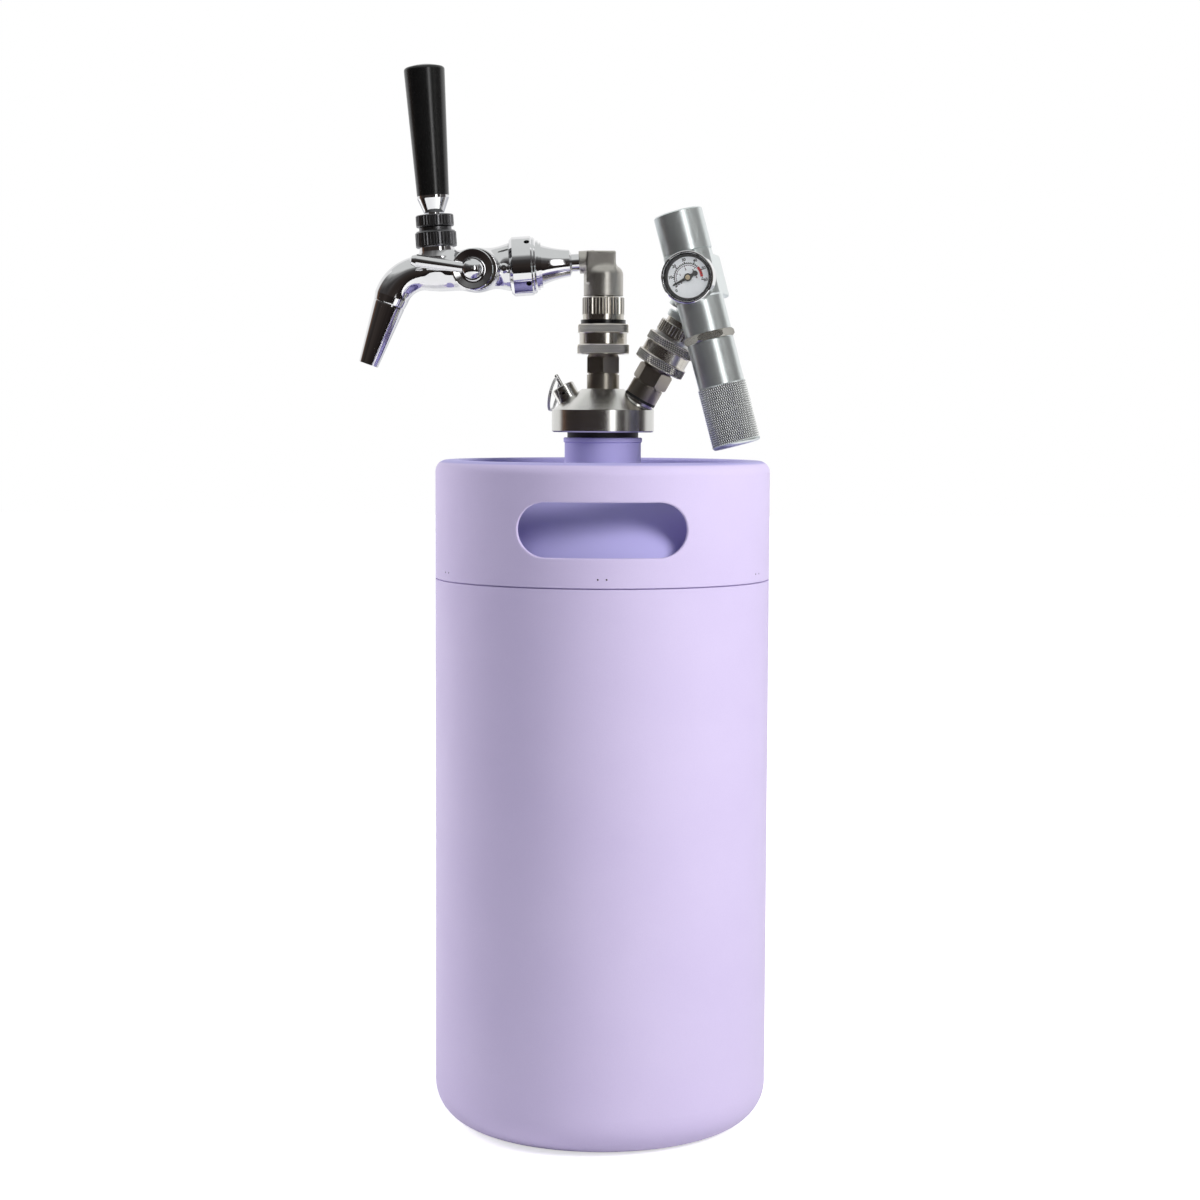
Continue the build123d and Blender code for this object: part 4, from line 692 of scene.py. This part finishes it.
def number(name, text, angle, radius, size, look):
    """Upright number on the dial."""
    lift, bolder = 0.03, 0.00009
    curve = bpy.data.curves.new(name, "FONT")
    curve.body = text
    curve.size = size * MM
    curve.align_x = "CENTER"
    curve.align_y = "CENTER"
    curve.extrude = PRINT_THICK * MM
    curve.offset = bolder
    temp = linked(name + "_text", curve)
    bpy.context.view_layer.update()
    mesh = bpy.data.meshes.new_from_object(temp)
    bpy.data.objects.remove(temp)
    a = math.radians(angle)
    mesh.transform(gauge_place @ shift(radius * math.cos(a), radius * math.sin(a), DIAL_Z + lift))
    mesh.name = name
    to_object(name, mesh, "regulator", "needle_black", sharp=None, look=look)


def dial_marks():
    """Outer scale with its red zone, inner scale, and the numbers of both."""
    black, plum = LOOKS["needle_black"], LOOKS["dial_plum"]
    outer_step, inner_step, major_every = 2, 2.9, 5
    marks = [(round_line(SCALE_R, dial_angle(0), RED_FROM), 0.46)]
    for i in range(31):
        major = i % major_every == 0
        angle = dial_angle(outer_step * i)
        marks.append((tick(angle, SCALE_R - 0.1, 9.4 if major else 8.9), 0.72 if major else 0.44))
    flat_print("dial_scale", marks, black)
    inner = [(round_line(INNER_R, dial_angle(0), RED_FROM), 0.30)]
    for i in range(21):
        major = i % major_every == 0
        angle = dial_angle(inner_step * i)
        if angle > RED_FROM:
            inner.append((tick(angle, 6.2 if major else 6.7, INNER_R), 0.42 if major else 0.32))
    flat_print("dial_inner_scale", inner, plum)
    flat_print("dial_red_zone", [(round_line(SCALE_R, RED_FROM, RED_TO), 1.6)], LOOKS["dial_red"])
    for i in range(1, 7):
        number("dial_number_%d0" % i, "%d0" % i, dial_angle(10 * i), 10.6, 2.4, black)
    number("dial_number_0", "0", dial_angle(-3.0), 10.4, 2.4, black)
    for i in range(5):
        number("dial_inner_number_%d" % i, "%d" % i, dial_angle(major_every * inner_step * i), 5.0, 1.7, plum)


def gauge_needle():
    """Needle on its hub, with a round counterweight. It rests a little above zero."""
    low, thick, rest_value = DIAL_Z + 0.5, 0.4, 2.4
    weight_x, weight_r = -4.8, 1.6
    side = [(10.4, 0.0), (9.6, 0.50), (2.6, 0.84), (0.9, 1.0), (-1.0, 1.0), (-3.6, 0.90)]
    blob = arc_points((weight_x, 0.0), weight_r, 40, 180, 7)
    upper = side + blob
    outline = upper + [(x, -y) for x, y in upper[::-1] if y > 1e-6]
    place = gauge_place @ turn("Z", dial_angle(rest_value))
    count = len(outline)
    verts = [place @ Vector((x * MM, y * MM, z * MM)) for z in (low, low + thick) for x, y in outline]
    faces = [tuple(range(count)), tuple(range(count, 2 * count))]
    for i in range(count):
        n = (i + 1) % count
        faces.append((i, n, count + n, count + i))
    blade = bpy.data.meshes.new("needle_blade")
    blade.from_pydata(verts, [], faces)
    facing_out(blade)
    to_object("needle_blade", blade, "needle", "needle_black", ["gauge_needle"], 30.0)
    hub = [(0, low - 4.0), (0.7, low - 4.0), (0.7, low), (2.35, low), (2.35, low + 0.75), (2.1, low + 1.0),
           (1.55, low + 1.05), (1.5, low + 0.9), (0, low + 0.9)]
    to_object("needle_hub", turned_mesh("needle_hub", hub, gauge_place, 48), "needle", "needle_black",
              sharp=30.0)
    cap = [(0, low + 0.85), (1.45, low + 0.85), (1.45, low + 1.05), (1.1, low + 1.22), (0.35, low + 1.3),
           (0, low + 1.3)]
    to_object("needle_cap", turned_mesh("needle_cap", cap, gauge_place, 40), "needle", "needle_black",
              sharp=30.0, look=LOOKS["needle_brass"])


# ---------------------------------------------------------------- small pieces
def split_ring():
    """Pull ring of the relief valve: two close turns of wire."""
    hoop_r, wire_r, rise = 10.3, 0.45, 0.47
    eye_z, hang, first_end = 14.7, 42, math.radians(150)
    crossing, crossing_length = 0.93, 0.14          # where the wire steps over, in turns
    steps, sides = 192, 10
    place = prv_place @ shift(0, 0, eye_z) @ turn("Y", hang) @ shift(0, 0, -hoop_r)
    across = Vector((1, 0, 0))
    round_wire = [(math.cos(math.tau * k / sides), math.sin(math.tau * k / sides)) for k in range(sides)]
    rings = []
    for i in range(steps + 1):
        t = 2 * math.tau * i / steps
        a = t + first_end
        blend = min(max((t / math.tau - crossing) / crossing_length, 0.0), 1.0)
        x = rise * (2 * blend * blend * (3 - 2 * blend) - 1)
        out = Vector((0, math.sin(a), math.cos(a)))
        centre = across * x + out * hoop_r
        rings.append([centre + wire_r * (c * out + s * across) for c, s in round_wire])
    verts = [place @ (v * MM) for ring in rings for v in ring]
    faces = []
    for i in range(steps):
        for k in range(sides):
            n = (k + 1) % sides
            faces.append((i * sides + k, i * sides + n, (i + 1) * sides + n, (i + 1) * sides + k))
    faces.append(tuple(range(sides))[::-1])
    faces.append(tuple(steps * sides + k for k in range(sides)))
    mesh = bpy.data.meshes.new("split_ring")
    mesh.from_pydata(verts, [], faces)
    to_object("split_ring", mesh, "prv_ring", "vessel_steel", ["prv_ring"], 40.0)


def shade_cup(name, radius, depth, wall, floor, place, body, count):
    """Open cup of painted shade that blackens the floor and the wall of a round hole."""
    inner = radius - wall
    outline = [(0, 0), (radius, 0), (radius, depth), (inner, depth), (inner, floor), (0, floor)]
    to_object(name, turned_mesh(name, outline, place, count), body, "dark_metal", sharp=30.0,
              look=LOOKS["hole_painted_shade"])


def hole_shade_cups():
    """Painted shade in the spanner holes of the coupling nut and in the weld dimples of the keg, two over
    each weld.
    """
    nut_r, nut_mid, hole_r, hole_depth = 15.42, 45.9, 1.66, 1.9
    for i, degrees in enumerate((50, 140, 230, 320)):
        place = tap_place @ turn("Z", degrees - 90) @ shift(nut_r, 0, nut_mid) @ turn("Y", 90)
        shade_cup("spanner_hole_%d" % (i + 1), hole_r, hole_depth, 0.16, 0.25, place, "tap", 24)
    keg_in, above_seam, half_pitch = -101.95, 5.4, 2.55
    count = 0
    for clock in (0, 65, 115, 180, 245, 295):
        for x in (-half_pitch, half_pitch):
            count += 1
            place = turn("Z", clock) @ shift(x, keg_in, SEAM_Z + above_seam) @ turn("X", 90)
            shade_cup("dimple_%02d" % count, 0.53, 0.34, 0.11, 0.1, place, "keg", 16)


knob()
collar("liquid_grip_collar", "liquid_collar", "liquid_collar", liquid_place)
collar("gas_grip_collar", "gas_collar", "gas_collar", gas_place)
FIELD_STEP = 0.6
tap_mesh = field_mesh("tap_body", faucet_field, (-29, -18.3, 45.4), (21.1, 16.3, 143.6),
                      FIELD_STEP, tap_place)
to_object("tap_body", tap_mesh, "tap", "tap_chrome", ["faucet_body"], None)
elbow_mesh = field_mesh("elbow_casting", elbow_field, (-16.5, -13.5, 507.5), (13.5, 13.5, 537.5),
                        FIELD_STEP, Matrix.Identity(4))
to_object("elbow_casting", elbow_mesh, "tap", "fitting_steel", ["elbow_head"], None, LOOKS["cast_steel"])
dial_marks()
gauge_needle()
split_ring()
hole_shade_cups()


# ---------------------------------------------------------------- floor, light, camera
EYE_Z = 0.52          # height that the studio cards are drawn round: the tap and the fittings
WALL_R = 0.90
AIM_Z = 0.35          # height that the lamps point at


def stage_mesh(name, points, faces, material, only_gloss=True):
    """Studio surface. With only_gloss it shows in reflections alone."""
    mesh = bpy.data.meshes.new(name)
    mesh.from_pydata(points, [], faces)
    obj = linked(name, mesh)
    mesh.materials.append(material)
    if only_gloss:
        obj.visible_camera = False
        obj.visible_diffuse = False
        obj.visible_shadow = False
        obj.visible_transmission = False


def floor_material():
    """White sweep: the camera sees paper white, less the object's own shadow, and metal a softer white."""
    near_glow, far_glow, near, far = 0.62, 1.0, 0.35, 1.3
    for_metal = 0.42
    g = Graph("floor")
    tree = g.tree
    apart = g.node("ShaderNodeVectorMath", {0: g.place}, operation="LENGTH")
    seen = g.node("ShaderNodeLightPath")
    shown = g.maths("MAXIMUM", seen.outputs["Is Camera Ray"], seen.outputs["Is Transmission Ray"])
    shown = g.maths("MAXIMUM", shown, seen.outputs["Is Glossy Ray"])
    dimmed = g.spread(seen.outputs["Is Glossy Ray"], 1.0, for_metal)
    strength = g.maths("MULTIPLY", g.spread(apart.outputs["Value"], near_glow, far_glow, near, far), dimmed)
    diffuse = g.node("ShaderNodeBsdfDiffuse", {"Color": rgb(0.84, 0.84, 0.84)})
    glow = g.node("ShaderNodeEmission", {"Color": rgb(1, 1, 1), "Strength": strength})
    both = g.node("ShaderNodeAddShader")
    tree.links.new(diffuse.outputs[0], both.inputs[0])
    tree.links.new(glow.outputs[0], both.inputs[1])
    mix = g.node("ShaderNodeMixShader")
    g.put(mix.inputs[0], shown)
    tree.links.new(diffuse.outputs[0], mix.inputs[1])
    tree.links.new(both.outputs[0], mix.inputs[2])
    return g.show(mix)


def glow_material(name, strength, tone):
    """Evenly glowing card."""
    g = Graph(name)
    return g.show(g.node("ShaderNodeEmission", {"Color": rgb(*tone), "Strength": strength}))


def surround_material(ramp, spots):
    """Room seen in the metal. ramp: (elevation, colour) stops; spots: soft-edged patches given as
    (azimuth from, to, softness, elevation from, to, softness, colour)."""
    g = Graph("surround")
    x, y, z = g.node("ShaderNodeSeparateXYZ", {"Vector": g.place}).outputs
    degrees = 180 / math.pi
    turn_at = g.maths("MULTIPLY", g.maths("ARCTAN2", x, g.maths("MULTIPLY", y, -1.0)), degrees)
    above = g.maths("DIVIDE", g.maths("SUBTRACT", z, EYE_Z), WALL_R)
    rise_at = g.maths("MULTIPLY", g.maths("ARCTANGENT", above), degrees)
    low, high = ramp[0][0], ramp[-1][0]
    stops = g.node("ShaderNodeValToRGB", {"Fac": g.spread(rise_at, 0.0, 1.0, low, high)})
    stops.color_ramp.interpolation = "EASE"
    while len(stops.color_ramp.elements) < len(ramp):
        stops.color_ramp.elements.new(0.5)
    for stop, (rise, tone) in zip(stops.color_ramp.elements, ramp):
        stop.position = (rise - low) / (high - low)
        stop.color = rgb(*tone)
    cloud = g.spread(g.noise(3.0, 2.0), 0.75, 1.25)
    ramp_node = g.node("ShaderNodeVectorMath", {0: stops.outputs["Color"], "Scale": cloud}, operation="SCALE")
    total = ramp_node.outputs[0]

    def edge(value, at, soft):
        return g.node("ShaderNodeMapRange", {"Value": value, "From Min": at - soft, "From Max": at + soft},
                      interpolation_type="SMOOTHSTEP").outputs[0]

    def window(value, start, end, soft):
        return g.maths("SUBTRACT", edge(value, start, soft), edge(value, end, soft))

    for t0, t1, t_soft, r0, r1, r_soft, tone in spots:
        both = g.maths("MULTIPLY", window(turn_at, t0, t1, t_soft), window(rise_at, r0, r1, r_soft))
        glow = g.node("ShaderNodeVectorMath", {0: tone, "Scale": both}, operation="SCALE").outputs[0]
        total = g.node("ShaderNodeVectorMath", {0: total, 1: glow}, operation="ADD").outputs[0]
    return g.show(g.node("ShaderNodeEmission", {"Color": total, "Strength": 1.0}))


def curved_card(name, radius, start, end, low, high, material, steps=48):
    """Upright card bent round the object. Angles are degrees from the camera side towards +X; low and
    high are elevations in degrees seen from the fittings."""
    z0 = max(0.002, EYE_Z + radius * math.tan(math.radians(low)))
    z1 = EYE_Z + radius * math.tan(math.radians(high))
    points = []
    for i in range(steps + 1):
        azimuth = math.radians(start + (end - start) * i / steps)
        x, y = radius * math.sin(azimuth), -radius * math.cos(azimuth)
        points += [(x, y, z0), (x, y, z1)]
    faces = [(2 * i, 2 * i + 2, 2 * i + 3, 2 * i + 1) for i in range(steps)]
    stage_mesh(name, points, faces, material)


def lamp(name, azimuth, rise, apart, size_x, size_y, watts, tone=(1.0, 1.0, 1.0)):
    """Soft box at an azimuth from the camera side towards +X and an elevation, both in degrees."""
    azimuth, rise = math.radians(azimuth), math.radians(rise)
    target = Vector((0.0, 0.0, AIM_Z))
    away = Vector((math.sin(azimuth) * math.cos(rise), -math.cos(azimuth) * math.cos(rise), math.sin(rise)))
    place = target + apart * away
    data = bpy.data.lights.new(name, "AREA")
    data.shape = "RECTANGLE"
    data.size = size_x
    data.size_y = size_y
    data.energy = watts
    data.color = tone
    obj = linked(name, data)
    obj.location = place
    obj.rotation_mode = "QUATERNION"
    obj.rotation_quaternion = (target - place).to_track_quat("-Z", "Y")
    obj.visible_glossy = False


def world_light(ambient, tone):
    """Soft tinted fill for diffuse rays, and plain white for the camera, metal and glass."""
    world = bpy.data.worlds.new("studio")
    bpy.context.scene.world = world
    world.use_nodes = True
    tree = world.node_tree
    sky = tree.nodes["Background"]
    sky.inputs["Color"].default_value = rgb(*tone)
    sky.inputs["Strength"].default_value = ambient
    shown = tree.nodes.new("ShaderNodeBackground")
    shown.inputs["Color"].default_value = rgb(1.0, 1.0, 1.0)
    shown.inputs["Strength"].default_value = 1.0
    path = tree.nodes.new("ShaderNodeLightPath")
    one = tree.nodes.new("ShaderNodeMath")
    one.operation = "MAXIMUM"
    tree.links.new(path.outputs["Is Camera Ray"], one.inputs[0])
    tree.links.new(path.outputs["Is Glossy Ray"], one.inputs[1])
    two = tree.nodes.new("ShaderNodeMath")
    two.operation = "MAXIMUM"
    tree.links.new(one.outputs[0], two.inputs[0])
    tree.links.new(path.outputs["Is Transmission Ray"], two.inputs[1])
    mix = tree.nodes.new("ShaderNodeMixShader")
    tree.links.new(two.outputs[0], mix.inputs[0])
    tree.links.new(sky.outputs[0], mix.inputs[1])
    tree.links.new(shown.outputs[0], mix.inputs[2])
    tree.links.new(mix.outputs[0], tree.nodes["World Output"].inputs["Surface"])


def level_square(x, y0, y1, z):
    """Corners of a level rectangle from -x to x."""
    return [(-x, y0, z), (x, y0, z), (x, y1, z), (-x, y1, z)]


stage_mesh("floor", level_square(9, -9, 9, 0), [(0, 1, 2, 3)], floor_material(), False)
world_light(0.19, (0.86, 0.92, 1.18))
ROOM = [(-40.0, (0.030, 0.022, 0.022)), (-31.0, (0.012, 0.009, 0.009)), (0.0, (0.036, 0.029, 0.026)),
        (18.0, (0.060, 0.056, 0.056)), (30.0, (0.20, 0.20, 0.20)), (40.0, (0.56, 0.57, 0.565))]
SPOTS = [
    (16.0, 27.0, 2.5, -8.0, 27.0, 6.0, (4.2, 4.2, 4.2)),
    (52.0, 56.0, 2.0, -8.0, 27.0, 6.0, (0.9, 0.9, 0.9)),
    (60.0, 74.0, 5.0, -20.0, 34.0, 8.0, (0.10, 0.095, 0.09)),
    (76.0, 105.0, 6.0, -20.0, 34.0, 8.0, (0.035, 0.032, 0.034)),
    (-104.0, -92.0, 4.0, -22.0, 22.0, 8.0, (0.10, 0.045, 0.020)),
    (-130.0, -108.0, 6.0, -60.0, 60.0, 8.0, (0.9, 0.9, 0.9)),
    (108.0, 130.0, 6.0, -60.0, 60.0, 8.0, (0.9, 0.88, 0.88)),
]
ceiling = glow_material("ceiling_card", 0.78, (0.98, 1.0, 0.99))
curved_card("room_card", WALL_R, -115.0, 113.0, -40.0, 40.0, surround_material(ROOM, SPOTS))
stage_mesh("ceiling_card", level_square(1.5, -1.8, 0.6, 1.28), [(0, 1, 2, 3)], ceiling)
lamp("key", 52.0, 30.0, 1.9, 0.9, 0.9, 35.5, (1.0, 0.99, 0.93))
lamp("left", -112.0, 20.0, 1.9, 0.9, 1.1, 27.5, (1.0, 0.985, 0.93))
lamp("top", 20.0, 75.0, 2.0, 1.2, 1.2, 2.5)

camera_data = bpy.data.cameras.new("camera")
camera = linked("camera", camera_data)
camera_data.sensor_width = 36.0
camera_data.lens = 73.01
pitch, yaw, roll = 0.0763079, -0.00085428, 0.0043603      # radians, fitted to the photograph
camera_y, camera_z = -1.49667, 0.43674
forward = Vector((math.sin(yaw) * math.cos(pitch), math.cos(yaw) * math.cos(pitch), -math.sin(pitch)))
right = Vector((math.cos(yaw), -math.sin(yaw), 0.0))
up = right.cross(forward)
right_rolled = math.cos(roll) * right + math.sin(roll) * up
up_rolled = -math.sin(roll) * right + math.cos(roll) * up
camera.matrix_world = Matrix((
    (right_rolled.x, up_rolled.x, -forward.x, 0.0),
    (right_rolled.y, up_rolled.y, -forward.y, camera_y),
    (right_rolled.z, up_rolled.z, -forward.z, camera_z),
    (0.0, 0.0, 0.0, 1.0)))
bpy.context.scene.camera = camera
bpy.context.scene.view_settings.view_transform = "Standard"
